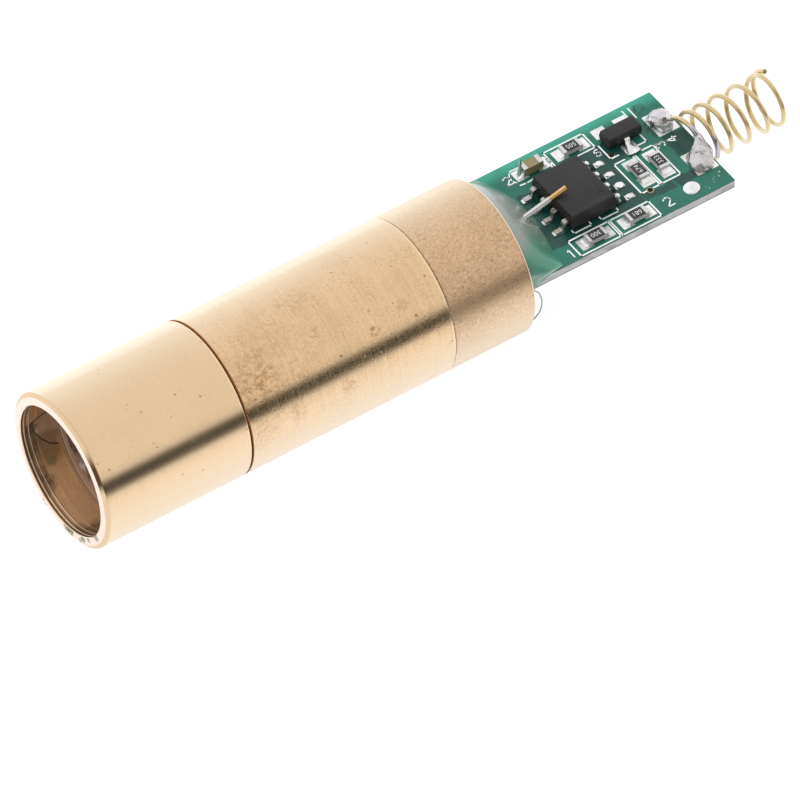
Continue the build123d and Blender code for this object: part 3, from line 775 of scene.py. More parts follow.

# Darker and paler patches in the bore, in the same form, the darkest near the mouth
BORE_PATCHES = [
    ((1.6, 4.75, -1.1), 1.0, (0.5, 0.36, 0.26), 0.6),
    ((1.7, 4.3, -2.6), 0.9, (0.22, 0.12, 0.05), 0.6),
    ((1.2, 1.6, -4.8), 1.5, (0.72, 0.41, 0.22), 0.6),
    ((2.4, -0.4, -5.0), 1.3, (0.68, 0.4, 0.22), 0.5),
    ((0.85, 4.95, -0.6), 0.35, (0.06, 0.05, 0.035), 0.8),
    ((1.8, 3.75, -3.4), 0.26, (0.16, 0.17, 0.05), 0.6),
    ((0.6, 3.5, -3.6), 0.35, (0.12, 0.07, 0.03), 0.6),
    ((0.9, 3.0, -4.05), 0.3, (0.14, 0.09, 0.04), 0.5),
    ((0.8, -2.9, -4.1), 1.1, (0.07, 0.045, 0.02), 0.75),
    ((0.5, 4.6, -1.8), 0.6, (0.1, 0.055, 0.02), 0.6),
    ((0.6, 2.6, -4.2), 0.5, (0.1, 0.055, 0.02), 0.5),
]

# Painted highlights and shade in the bore: bright rings that paint glints on its ridges and by the lens, dark
# rings beside them and at the mouth, and a grey band that paints the lens's reflection on the wall; from x to
# x in mm, colour and strength
BORE_HIGHLIGHTS_AND_SHADE = [
    (0.0, 0.2, (0.09, 0.05, 0.02), 0.85),
    (0.27, 0.32, (1.0, 0.92, 0.82), 0.85),
    (0.36, 0.5, (0.12, 0.06, 0.025), 0.6),
    (0.66, 0.7, (1.0, 0.92, 0.82), 0.75),
    (0.73, 0.8, (0.2, 0.11, 0.05), 0.5),
    (1.16, 1.2, (0.8, 0.62, 0.42), 0.45),
    (2.9, 3.3, (0.5, 0.37, 0.28), 0.6),
    (2.86, 2.9, (0.2, 0.12, 0.07), 0.4),
    (3.02, 3.07, (0.16, 0.09, 0.05), 0.6),
    (3.14, 3.18, (0.97, 0.93, 0.9), 0.55),
]


class LASER_OT_brass(bpy.types.Operator):
    """Turns the three brass sections with their seams, rims and the threaded bore"""

    bl_idname = "laser_module.brass"
    bl_label = "Brass sections"

    bore_radius = 5.05
    bore_depth = 3.3
    ridges = (1.35, 0.68, 0.3)
    pocket_radius = 4.8
    pocket_depth = 4.8
    light_radius = 3.4
    socket_radius = 4.65
    spigot_radius = 4.6
    spigot_gap = 0.05
    front_spigot_start = 8.2
    rear_spigot_start = 26.6
    optics_radius = 3.6
    optics_end = 15.8
    crystal_end = 19.2
    beam_radius = 1.5
    rear_bore_radius = 5.5
    rear_bore_start = 30.63
    cavity_radius = 4.2
    mouth_round = 0.15

    rim_colour = (0.93, 0.8, 0.71)
    chamfer_colour = (0.76, 0.56, 0.36)

    # The chamfer's painted dark reflection: where it starts, is full, is still full and ends, in degrees
    chamfer_painted_reflection = (119, 137, 147, 157)

    # The dark line in the bore: x in mm and the angle from +Y towards +Z in degrees
    hair = [(2.3, 4), (1.5, 1), (0.85, -2), (1.05, -12), (1.5, -21), (2.05, -28), (2.8, -32)]

    def execute(self, context):
        settings = context.scene.laser_brass
        # Dark brown for the walls of the gaps between sections: painted shade
        plain("seam_gap_shade", (0.34, 0.14, 0.045), 0.7, grain=0.3)
        self.front(settings)
        self.middle(settings)
        self.rear(settings)
        return {"FINISHED"}

    def section(self, name, profile, settings, stains, painted_light_rings):
        """One turned section: front, middle or rear."""
        outside = brass("brass_" + name, getattr(settings, name + "_colour"), stains, painted_light_rings)
        piece = turned(profile, settings.turns)
        return settle(piece, name + "_section", outside, [name + "_barrel"], smooth=15)

    def ridge_profile(self, height):
        """The fine turning ridges of the bore, from its inner end out to the mouth."""
        points = []
        for x in self.ridges:
            points += [
                (x + 0.04, self.bore_radius), (x, self.bore_radius - height), (x - 0.04, self.bore_radius)
            ]
        return points

    def front(self, settings):
        radius = BARREL_RADIUS
        seam = FRONT_END - settings.seam_width
        inside = self.front_spigot_start - self.spigot_gap
        profile = [
            (0.0, self.bore_radius + 0.05), (0.0, radius - 0.36), (0.02, radius - 0.31),
            (0.19, radius - 0.04), (0.22, radius), (0.27, radius),
            (seam - 0.12, radius), (seam - 0.07, radius), (seam - 0.05, radius - 0.012),
            (seam, radius - 0.07), (seam, radius - settings.seam_depth),
            (FRONT_END, radius - settings.seam_depth), (FRONT_END, self.socket_radius),
            (inside, self.socket_radius), (inside, self.light_radius),
            (self.pocket_depth, self.light_radius), (self.pocket_depth, self.pocket_radius),
            (self.bore_depth, self.pocket_radius), (self.bore_depth, self.bore_radius),
            *self.ridge_profile(settings.ridge_height),
            (0.06, self.bore_radius),
        ]
        # A painted dark reflection at the chamfer's outer edge, and a painted golden highlight on the edge
        # before the seam
        painted_light_rings = [(0.2, 0.3, (0.6, 0.4, 0.2), 0.6), (seam - 0.16, seam - 0.03, (1.0, 0.74, 0.42), 0.55)]
        piece = self.section("front", profile, settings, (), painted_light_rings)
        self.finish_mouth(piece, settings)
        self.shade_seam_gap(piece, seam)
        hair = line_round(self.hair, 6, self.bore_radius - 0.005)
        thread("bore_line", hair, 0.05, (0.05, 0.035, 0.02), 0.6, 0.3)

    def finish_mouth(self, piece, settings):
        """Gives the faces inside the mouth the bore's tarnished brass with its painted highlights and shade,
        the outer chamfer its brass, and the rim its paler cut face.
        """
        piece.data.materials.append(self.chamfer_brass())
        piece.data.materials.append(
            brass("brass_bore", settings.bore_colour, BORE_PATCHES, BORE_HIGHLIGHTS_AND_SHADE, 0.0, (0.2, 0.5), 0.45)
        )
        piece.data.materials.append(
            brass("brass_rim", self.rim_colour, RIM_STAINS, edge_sheen=0.1, mottled=(0.3, 0.45))
        )
        chamfer, bore, rim = 1, 2, 3
        for face in piece.data.polygons:
            x = face.center.x / MM
            out = math.hypot(face.center.y, face.center.z) / MM
            if x < 0.02:
                face.material_index = rim
            elif x < 0.215 and out > BARREL_RADIUS - 0.4:
                face.material_index = chamfer
            elif x > 0.05 and out < self.bore_radius + 0.04:
                face.material_index = bore

    def chamfer_brass(self):
        """The mouth's outer chamfer: pale, with a painted dark reflection on the side towards the light's
        edge.
        """
        material, place = new_material("brass_chamfer")
        axes = axes_of(place)
        turn = axes["Z"].maths("ARCTAN2", axes["Y"])
        start, full, still_full, end = (math.radians(angle) for angle in self.chamfer_painted_reflection)
        dark = ramp(turn, start, full) * ramp(turn, end, still_full)
        return shade(material, blend(dark, self.chamfer_colour, (0.09, 0.05, 0.025)), 0.3, 1.0)

    def shade_seam_gap(self, piece, start):
        """Gives the walls of the gap between two sections a dark brown that paints the shade in the gap."""
        piece.data.materials.append(bpy.data.materials["seam_gap_shade"])
        index = len(piece.data.materials) - 1
        for face in piece.data.polygons:
            place = face.center / MM
            in_gap = 5.0 < math.hypot(place.y, place.z) < BARREL_RADIUS - 0.035
            if in_gap and start - 0.005 < place.x < start + 0.2:
                face.material_index = index

    def section_start(self, start, seam_depth, chamfer):
        """The profile from a spigot's inner end, up the seam's wall and over its edge."""
        radius = BARREL_RADIUS
        wall = start + 0.01
        return [
            (start, self.spigot_radius), (start, radius - seam_depth), (wall, radius - seam_depth),
            (wall, radius - chamfer), (start + 0.05, radius - chamfer / 5), (start + 0.07, radius),
            (start + 0.12, radius),
        ]

    def middle(self, settings):
        radius = BARREL_RADIUS
        seam = MIDDLE_END - 0.035
        inside = self.rear_spigot_start - self.spigot_gap
        profile = [
            (self.front_spigot_start, self.optics_radius), (self.front_spigot_start, self.spigot_radius),
            *self.section_start(FRONT_END, settings.seam_depth, 0.06),
            (MIDDLE_END - 0.12, radius), (MIDDLE_END - 0.07, radius), (MIDDLE_END - 0.05, radius - 0.012),
            (seam, radius - 0.05), (seam, radius - settings.seam_depth),
            (MIDDLE_END, radius - settings.seam_depth), (MIDDLE_END, self.socket_radius),
            (inside, self.socket_radius), (inside, self.cavity_radius),
            (self.crystal_end, self.cavity_radius), (self.crystal_end, self.beam_radius),
            (self.optics_end, self.beam_radius), (self.optics_end, self.optics_radius),
        ]
        # Painted light at the seams: a golden highlight on the edge before the rear seam, and painted shade
        # over both seams
        painted_light_rings = [
            (MIDDLE_END - 0.2, MIDDLE_END - 0.07, (1.0, 0.78, 0.5), 0.5),
            (MIDDLE_END - 0.05, MIDDLE_END + 0.1, (0.3, 0.14, 0.05), 0.8),
            (FRONT_END - 0.1, FRONT_END + 0.05, (0.5, 0.27, 0.1), 0.7),
        ]
        piece = self.section("middle", profile, settings, MIDDLE_STAINS, painted_light_rings)
        self.shade_seam_gap(piece, FRONT_END)
        self.shade_seam_gap(piece, seam)

    def rear(self, settings):
        round_off = []
        for angle in range(0, 91, 10):
            turn = math.radians(angle)
            x = BARREL_END - self.mouth_round * (1 - math.sin(turn))
            round_off.append((x, BARREL_RADIUS - self.mouth_round * (1 - math.cos(turn))))
        profile = [
            (self.rear_spigot_start, self.cavity_radius), (self.rear_spigot_start, self.spigot_radius),
            *self.section_start(MIDDLE_END, settings.seam_depth, 0.05),
            (BARREL_END - 0.22, BARREL_RADIUS),
            *round_off,
            (BARREL_END, self.rear_bore_radius + 0.04), (BARREL_END - 0.04, self.rear_bore_radius),
            (self.rear_bore_start, self.rear_bore_radius), (self.rear_bore_start, self.cavity_radius),
        ]
        # A painted highlight on the rounded rear end, and painted shade just before it
        painted_light_rings = [
            (BARREL_END - 0.13, BARREL_END + 0.1, (1.0, 0.86, 0.66), 0.9),
            (BARREL_END - 0.24, BARREL_END - 0.13, (0.42, 0.24, 0.11), 0.35),
        ]
        self.shade_seam_gap(self.section("rear", profile, settings, (), painted_light_rings), MIDDLE_END)


# Optics


class LASER_OT_optics(bpy.types.Operator):
    """Finishes the lenses, their rings, the crystal and the diode inside the barrel"""

    bl_idname = "laser_module.optics"
    bl_label = "Optics"

    def execute(self, context):
        clear = glass("lens_glass", (0.94, 0.91, 0.9))
        inner = brass("brass_inside", context.scene.laser_brass.middle_colour)
        gold = plain("diode_gold", (0.83, 0.62, 0.28), 0.25, metallic=1.0, grain=0.1)
        finishes = {
            "line_lens": clear, "collimating_lens": clear, "expander_lens": clear, "diode_window": clear,
            "infrared_filter": glass("filter_glass", (0.5, 0.85, 0.82)),
            "laser_crystal": glass("laser_crystal", (0.85, 0.75, 0.9), 0.05),
            "line_lens_holder": self.holder_material(),
            "lens_ring": inner, "crystal_holder": inner, "diode_header": gold, "diode_pins": gold,
            "diode_cap": plain("cap_steel", (0.62, 0.61, 0.6), 0.28, metallic=1.0, grain=0.1),
            "laser_emitter": plain("emitter_grey", (0.06, 0.06, 0.07), 0.2, grain=0.1),
        }
        for name, material in finishes.items():
            dress(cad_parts[name], material)
        return {"FINISHED"}

    def holder_material(self):
        """The lens holder: brown, with dark streaks round it and bright streaks that are painted glints."""
        material, place = new_material("lens_holder_brown")
        streaks = noise(stretched(place, 2600, 900, 500), 1.0, 4.0, 0.7)
        brown = blend(ramp(streaks, 0.5, 0.3), (0.36, 0.26, 0.2), (0.07, 0.045, 0.03))
        # Painted glints: the brightest streaks are painted near white
        colour = blend(ramp(streaks, 0.55, 0.68), brown, (0.95, 0.92, 0.9))
        return shade(material, colour, 0.3, 0.4, (streaks, 0.5, 0.05))


# Board


class LASER_OT_board(bpy.types.Operator):
    """Finishes the board: solder mask, copper, cut edges, print and via rings"""

    bl_idname = "laser_module.board"
    bl_label = "Circuit board"

    # The chip's own pads: from x to x, and half their width
    chip_pads = ((40.25, 41.1, 0.2), (46.42, 47.2, 0.24))

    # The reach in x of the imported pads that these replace
    packed_chip_pads = ((39.9, 41.4), (45.4, 46.8))

    def execute(self, context):
        settings = context.scene.laser_board
        self.mask(settings)
        self.pads()
        self.print_lines(settings)
        return {"FINISHED"}

    def mask(self, settings):
        material, place = new_material("solder_mask")
        tree = place.tree
        axes = axes_of(place)
        fine = noise(place, 2500.0, 3.0)
        broad = noise(place, 380.0) - 0.5
        wander = vector_maths("SUBTRACT", noise(place, 650.0, 1.0, given="Color"), (0.5, 0.5, 0.5))[0]
        soft_axes = axes_of(vector_maths("ADD", place, scaled(tree, wander, 1.1 * MM))[0])
        zones = [self.box_mask(soft_axes, *zone) for zone in COPPER_ZONES]
        copper = zones[0]
        for zone in zones[1:]:
            copper = copper.maths("MAXIMUM", zone)
        colour = blend(copper, settings.mask_colour, settings.copper_colour)
        colour = blend(reach(axes["Y"], BOARD_HALF - 1.4, BOARD_HALF - 0.1), colour, settings.far_colour)
        for x, y, radius in MASK_BURNS:
            burn = near_place(place, (x, y, BOARD_TOP), radius, radius) * ramp(fine, 0.3, 0.6)
            colour = blend(burn, colour, (0.012, 0.02, 0.018))
        colour = scaled(tree, colour, broad * 0.7 + 0.97)
        side = reach(axes["Y"].maths("ABSOLUTE"), BOARD_HALF - 0.05, BOARD_HALF - 0.015)
        end = reach(axes["X"], BOARD_END - 0.05, BOARD_END - 0.015)
        level = axes["Z"] + broad * (0.2 * MM)
        rim = side.maths("MAXIMUM", end) * reach(level, BOARD_TOP - 0.1, BOARD_TOP - 0.17)
        stripe = noise(stretched(place, 900, 900, 5000), 1.0, 3.0)
        fibre = blend(ramp(stripe, 0.42, 0.75), settings.edge_colour, (0.45, 0.46, 0.45))
        low_edge = reach(axes["Z"], BOARD_BOTTOM + 0.16, BOARD_BOTTOM + 0.04)
        fibre = blend(low_edge * 0.75, fibre, (0.16, 0.16, 0.16))
        height = copper * 0.6 + fine * 0.25 + stripe * rim * 2.0
        shade(material, blend(rim, colour, fibre), rim * 0.45 + 0.3, bump=(height, 0.5, 0.03))
        dress(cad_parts["circuit_board"], material)

    def box_mask(self, axes, low_x, high_x, low_y, high_y):
        soft = 0.22
        return between(axes["X"], low_x, high_x, soft) * between(axes["Y"], low_y, high_y, soft)

    def pads(self):
        pads = [self.other_pads()]
        top = BOARD_TOP + 0.05
        for y in chip_rows():
            for low, high, half in self.chip_pads:
                pads.append(rounded_box((low, y - half, BOARD_TOP), (high, y + half, top), 0.015, 2))
        tin = tinned("pad_tin", (0.93, 0.92, 0.92), 0.3, 0.3, 0.5)
        settle(join(pads), "tinned_pads", tin, ["board_pads"])
        rings, holes = [], []
        for x, y, radius in VIA_RINGS:
            rings.append(added(
                bpy.ops.mesh.primitive_torus_add, major_segments=48, minor_segments=8,
                major_radius=radius * MM, minor_radius=0.03 * MM, location=(x * MM, y * MM, BOARD_TOP * MM),
            ))
            rings[-1].scale.z = 0.5
            holes.append(disc(x, y, BOARD_TOP - 0.005, radius - 0.02, 0.05, 32))
        gilt = plain("via_gilt", (0.75, 0.58, 0.28), 0.3, metallic=1.0, grain=0.2)
        settle(join(rings), "via_rings", gilt)
        settle(join(holes), "via_holes", plain("via_black", (0.006, 0.006, 0.005), 0.8, grain=0.2))

    def other_pads(self):
        """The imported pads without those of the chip."""
        rows = chip_rows()

        def of_the_chip(place):
            near = any(low < place.x < high for low, high in self.packed_chip_pads)
            return near and any(abs(place.y - y) < 0.3 for y in rows)

        return without(copy_of("board_pads"), of_the_chip)

    def print_lines(self, settings):
        """The white outlines round the parts, and the digits beside them."""
        ink = []
        height = settings.print_height
        for share, *corners in [*PRINT_RUNS, *digit_runs()]:
            width = settings.line_width * share
            for (x_a, y_a), (x_b, y_b) in zip(corners, corners[1:]):
                middle = ((x_a + x_b) / 2 * MM, (y_a + y_b) / 2 * MM, (BOARD_TOP + height / 2) * MM)
                turn = math.atan2(y_b - y_a, x_b - x_a)
                line = added(bpy.ops.mesh.primitive_cube_add, size=1, location=middle, rotation=(0, 0, turn))
                length = math.hypot(x_b - x_a, y_b - y_a) + width
                ink.append(apply_place(line, (length * MM, width * MM, height * MM)))
        white = plain("print_white", settings.print_colour, 0.55, grain=0.25, grain_scale=6000)
        settle(join(ink), "board_print", white, smooth=0)


def digit_runs():
    """The strokes of the printed digits as lines on the board."""
    for digit, x, y, height, turn in PRINT_DIGITS:
        cosine, sine = math.cos(math.radians(turn)), math.sin(math.radians(turn))
        places = []
        for across, up in DIGIT_STROKES[digit]:
            across, up = (across - 0.3) * height, (up - 0.5) * height
            places.append((x + across * cosine - up * sine, y + across * sine + up * cosine))
        yield (0.85, *places)


def digits(text, place, size, turn, height):
    """Raised digits on a part, in mm, turned by degrees."""
    piece = added(
        bpy.ops.object.text_add, location=[c * MM for c in place], rotation=(0, 0, math.radians(turn))
    )
    piece.data.body = text
    piece.data.size = size * MM
    piece.data.align_x = "CENTER"
    piece.data.align_y = "CENTER"
    piece.data.extrude = height * MM
    piece.data.offset = -0.008 * MM
    piece.data.resolution_u = 3
    bpy.ops.object.convert(target="MESH")
    return apply_place(bpy.context.object)


def chip_rows():
    """The y of the chip's four rows of leads, in mm."""
    low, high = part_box("driver_chip")
    middle = (low.y + high.y) / 2 / MM
    return [middle + LEAD_PITCH * step for step in (1.5, 0.5, -0.5, -1.5)]


# From one of the chip's leads to the next, in mm
LEAD_PITCH = 1.27

# Copper under the mask: low x, high x, low y, high y, in mm
COPPER_ZONES = [
    (39.5, 42.0, -3.5, -1.3), (40.2, 42.2, -1.3, 2.1), (41.5, 47.5, -3.25, -2.4), (46.0, 47.6, -2.4, 2.8),
    (47.2, 49.6, 0.95, 3.1), (47.8, 50.2, -3.3, -2.75), (50.6, 52.0, -3.6, -2.8), (52.0, 53.8, -1.1, 0.9),
]

# Burnt flux on the mask: x, y and radius
MASK_BURNS = [(52.3, 4.35, 0.3), (52.2, 2.0, 0.45), (51.95, 2.6, 0.25), (52.1, -3.2, 0.3)]

# Rings of copper round the plated holes: x, y and radius, in mm
VIA_RINGS = [(48.4, -2.65, 0.235), (48.1, 1.7, 0.235)]

# Printed outlines: their width in line widths, and their corners in mm
PRINT_RUNS = [
    (0.9, (41.2, 4.45), (42.3, 4.45)),
    (0.8, (41.05, 4.3), (40.85, 3.95), (40.85, 3.6), (41.0, 3.3)),
    (1.0, (41.1, 2.93), (41.6, 2.87)),
    (1.1, (41.6, 2.87), (42.4, 2.95)),
    (1.0, (43.95, 4.3), (44.12, 4.0), (44.15, 3.6), (43.98, 3.15)),
    (1.0, (44.2, 2.98), (47.6, 2.98), (47.6, 4.6), (44.2, 4.6), (44.2, 2.98)),
    (1.0, (40.7, -5.12), (47.65, -5.12), (47.65, -3.45), (40.7, -3.45), (40.7, -5.12)),
    (0.9, (44.13, -5.12), (44.13, -3.45)),
    (0.9, (44.3, -5.12), (44.3, -3.45)),
    (1.0, (48.6, 0.8), (47.7, 0.8), (47.7, -2.6), (48.1, -2.6)),
    (1.0, (48.75, -2.6), (51.1, -2.6), (51.1, 0.85), (50.2, 0.85)),
    (1.1, (49.28, 0.65), (49.28, -2.6)),
    (1.1, (49.47, 0.65), (49.47, -2.6)),
    (1.0, (47.85, 2.9), (47.85, 1.4), (48.5, 1.4)),
    (1.0, (50.95, 2.2), (50.95, 1.4), (50.25, 1.4)),
    (0.9, (51.2, 4.05), (51.2, 4.75)),
    (0.9, (51.7, 3.7), (51.7, 4.75)),
    (1.0, (41.55, -2.75), (41.55, -3.05), (43.05, -3.05), (43.05, -2.75)),
    (1.0, (43.9, -2.75), (43.9, -3.05), (45.4, -3.05), (45.4, -2.75)),
]

# Printed digits beside the parts: digit, x and y of its middle, height and turn
PRINT_DIGITS = [
    ("2", 40.58, 3.78, 0.8, 0), ("5", 47.4, 2.42, 0.62, 0), ("1", 40.2, -4.5, 0.8, 0),
    ("2", 48.8, -4.3, 0.85, 0), ("3", 51.55, 0.55, 0.7, 90), ("4", 52.55, 0.5, 0.75, 90),
]

# The pen strokes of the printed digits, in a cell 0.6 wide and 1 high
DIGIT_STROKES = {
    "1": [(0.2, 0.8), (0.38, 1.0), (0.38, 0.0)],
    "2": [(0.0, 0.82), (0.12, 0.98), (0.46, 0.98), (0.6, 0.82), (0.58, 0.6), (0.0, 0.0), (0.62, 0.0)],
    "3": [
        (0.0, 0.85), (0.14, 1.0), (0.44, 1.0), (0.58, 0.84), (0.56, 0.64), (0.3, 0.53), (0.56, 0.42),
        (0.6, 0.18), (0.44, 0.0), (0.14, 0.0), (0.0, 0.15),
    ],
    "4": [(0.46, 0.0), (0.46, 1.0), (0.0, 0.3), (0.64, 0.3)],
    "5": [
        (0.56, 1.0), (0.06, 1.0), (0.0, 0.55), (0.4, 0.62), (0.6, 0.45), (0.6, 0.18), (0.44, 0.0),
        (0.12, 0.0), (0.0, 0.14),
    ],
}


# Parts on the board


class LASER_OT_parts(bpy.types.Operator):
    """Moulds the chip and the transistor, and finishes the chip resistors and the capacitor"""

    bl_idname = "laser_module.parts"
    bl_label = "Board parts"

    # Half the printed top of a resistor, in mm: along it and across it
    top_half = (0.53, 0.4)
    top_height = 0.045

    def execute(self, context):
        settings = context.scene.laser_board
        self.moulded("driver_chip", "chip_moulding", "chip_body", 0.08, settings)
        self.moulded("transistor", "transistor_moulding", "transistor_body", 0.05, settings)
        self.resistors()
        brown = plain("capacitor_brown", (0.25, 0.2, 0.1), 0.4, grain=0.5, grain_scale=2500)
        dress(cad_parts["capacitor"], brown)
        self.tin_ends(settings)
        return {"FINISHED"}

    def moulded(self, node, name, slot, bevel, settings):
        """A copy of the moulded body with its edges rounded."""
        piece = copy_of(node)
        with editing():
            bpy.ops.mesh.dissolve_limited(angle_limit=math.radians(1))
        round_edges(piece, bevel, 3, 25)
        black = plain(name + "_black", settings.plastic_colour, 0.5, grain=0.95, grain_scale=3300)
        settle(piece, name, black, [node])

    def resistors(self):
        ceramic = plain("resistor_ceramic", (0.42, 0.42, 0.4), 0.45, grain=0.2)
        tops, marks = [], []
        for number, text in enumerate(RESISTOR_DIGITS, start=1):
            dress(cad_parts[f"resistor_{number}"], ceramic)
            low, high = (Vector(corner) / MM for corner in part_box(f"resistor_{number}"))
            x, y = ((a + b) / 2 for a, b in zip(low[:2], high[:2]))
            upright = (high - low).y > (high - low).x
            half_x, half_y = self.top_half[::-1] if upright else self.top_half
            top = high.z + self.top_height
            tops.append(rounded_box(
                (x - half_x, y - half_y, high.z - 0.02), (x + half_x, y + half_y, top), 0.02
            ))
            marks.append(digits(text, (x, y, top), 0.56, 90 if upright else 180, 0.006))
        black = plain("resistor_black", (0.02, 0.02, 0.022), 0.25, grain=0.2)
        settle(join(tops), "resistor_tops", black)
        white = plain("resistor_digits", (0.8, 0.82, 0.8), 0.5, grain=0.1)
        settle(join(marks), "resistor_marks", white, smooth=0)

    def tin_ends(self, settings):
        tin = tinned("end_tin", settings.tin_colour, 0.15, 0.28)
        names = [f"resistor_{number}_ends" for number in range(1, len(RESISTOR_DIGITS) + 1)]
        for name in [*names, "capacitor_ends"]:
            piece = copy_of(name)
            round_edges(piece, 0.035, 2, 40)
            settle(piece, name.replace("ends", "plated_ends"), tin, [name])


# The value digits on the resistors, in the order of their nodes
RESISTOR_DIGITS = ["505", "300", "681", "674", "333"]


# Solder


class LASER_OT_solder(bpy.types.Operator):
    """Runs the solder over the leads, the joints and the ends of the spring"""

    bl_idname = "laser_module.solder"
    bl_label = "Solder"

    # Half length and half width of the blobs on the chip's outer pads
    toe_sizes = ((0.38, 0.24), (0.37, 0.25), (0.38, 0.32), (0.36, 0.25))

    # The transistor's wedge of solder, from the board up to its lead: x, y and height over the board
    wedge_start = (49.6, 0.93, 0.03)
    wedge_end = (49.55, 1.95, 0.5)

    def execute(self, context):
        tin = tinned("solder_bright", (0.95, 0.94, 0.94), 0.25, 0.25)
        leads = tinned("lead_tin", (0.55, 0.53, 0.5), 0.4, 0.27, 0.4, self.dark_bends)
        settle(melted([copy_of("chip_leads")], 0.03, 3), "chip_lead_feet", leads, ["chip_leads"])
        transistor_leads = melted([copy_of("transistor_leads")], 0.022, 2)
        settle(transistor_leads, "transistor_lead_feet", tin, ["transistor_leads"])
        self.joints(tin)
        self.mounds()
        return {"FINISHED"}

    def joints(self, tin):
        x, y = TEST_PAD
        joints = without(
            copy_of("solder_joints"), lambda place: math.hypot(place.x - x, place.y - y) < 0.75
        )
        joints = melted([joints, *self.toe_drops(), self.wedge()], 0.03, 2)
        joints = join([joints, disc(x, y, BOARD_TOP + 0.05, 0.575, 0.06, 48)])
        specks = [drop((x, y, BOARD_TOP), (width, width, 0.03)) for x, y, width in SOLDER_SPECKS]
        settle(join([joints, self.spike(), *specks]), "joint_solder", tin, ["solder_joints"])

    def mounds(self):
        """The two large mounds that hold the spring, lumpy all over."""
        drops = [drop(place, radii, turn) for place, radii, turn in SOLDER_DROPS]
        mounds = melted([copy_of("spring_solder"), *drops], 0.05, 5)
        lumps = bpy.data.textures.new("solder_lumps", "CLOUDS")
        lumps.noise_scale = 0.45 * MM
        apply_modifier(mounds, "DISPLACE", texture=lumps, strength=0.22 * MM, texture_coords="OBJECT")
        skin = tinned("mound_solder", (0.68, 0.66, 0.68), 0.55, 0.26, 0.9, self.far_mound_highlights)
        settle(mounds, "spring_mounds", skin, ["spring_solder"])

    def dark_bends(self, place, colour):
        """The outer leads mirror the dark board between their bright shoulders and feet."""
        axes = axes_of(place)
        outer = reach(axes["X"], 45.92, 46.0)
        rising = reach(axes["Z"], BOARD_TOP + 0.13, BOARD_TOP + 0.2)
        falling = reach(axes["Z"], BOARD_TOP + 0.7, BOARD_TOP + 0.6)
        return blend(outer * (rising * falling), colour, (0.03, 0.06, 0.05))

    def far_mound_highlights(self, place, colour):
        """Painted highlights: the far mound of solder is painted brighter than the near one, in patches."""
        far = reach(axes_of(place)["Y"], 0.0, 0.2)
        return blend(far * ramp(noise(place, 900.0), 0.62, 0.45), colour, (0.86, 0.84, 0.88))

    def toe_drops(self):
        """Blobs on the chip's outer pads and on the shoulders of its outer leads."""
        blobs = []
        for y, (length, width) in zip(chip_rows(), self.toe_sizes):
            blobs.append(drop((46.83, y, BOARD_TOP + 0.08), (length, width, 0.13)))
            blobs.append(drop((45.78, y, BOARD_TOP + 0.74), (0.17, 0.22, 0.13)))
        return blobs

    def wedge(self):
        """The wedge of solder over the transistor's single lead, wide at the board."""
        board = Vector((0, 0, BOARD_TOP))
        start, end = Vector(self.wedge_start) + board, Vector(self.wedge_end) + board
        turn = (end - start).to_track_quat("Z", "Y").to_euler()
        piece = apply_place(peak((start + end) / 2, turn, (0.55, 0.13), (end - start).length, 24))
        with editing():
            bpy.ops.transform.resize(value=(1, 1, 0.3), center_override=start * MM)
            bpy.ops.transform.translate(value=(0, 0, 0.08 * MM))
        return piece

    def spike(self):
        """The peak of solder drawn up at the capacitor's inner end."""
        turn = (math.radians(-4), math.radians(3), 0)
        return apply_place(peak((41.68, 3.8, 2.45), turn, (0.36, 0.03), 1.75, 16), (1, 0.7, 1))


# The middle of the round test pad
TEST_PAD = (50.95, -4.18)

# Specks of solder on the mask by the test pad: x, y and radius, in mm
SOLDER_SPECKS = [
    (53.47, -3.97, 0.06), (53.19, -4.28, 0.05), (52.66, -4.33, 0.04), (52.59, -4.61, 0.04),
    (51.82, -4.66, 0.035), (51.97, -4.88, 0.045), (53.32, -4.05, 0.03), (52.85, -4.2, 0.03),
]

# Extra blobs over the spring's solder: place, radii and turn
SOLDER_DROPS = [
    ((52.75, 2.3, 1.8), (0.75, 0.9, 0.5), 0),
    ((52.45, 2.75, 1.72), (0.62, 0.4, 0.24), 130),
    ((53.0, 1.9, 2.35), (0.4, 0.55, 0.45), 20),
    ((52.9, -2.5, 1.8), (0.95, 1.05, 0.6), 0),
    ((53.25, -1.95, 2.25), (0.55, 0.7, 0.5), 0),
    ((53.55, -1.3, 2.7), (0.3, 0.45, 0.4), 0),
]


# Wires


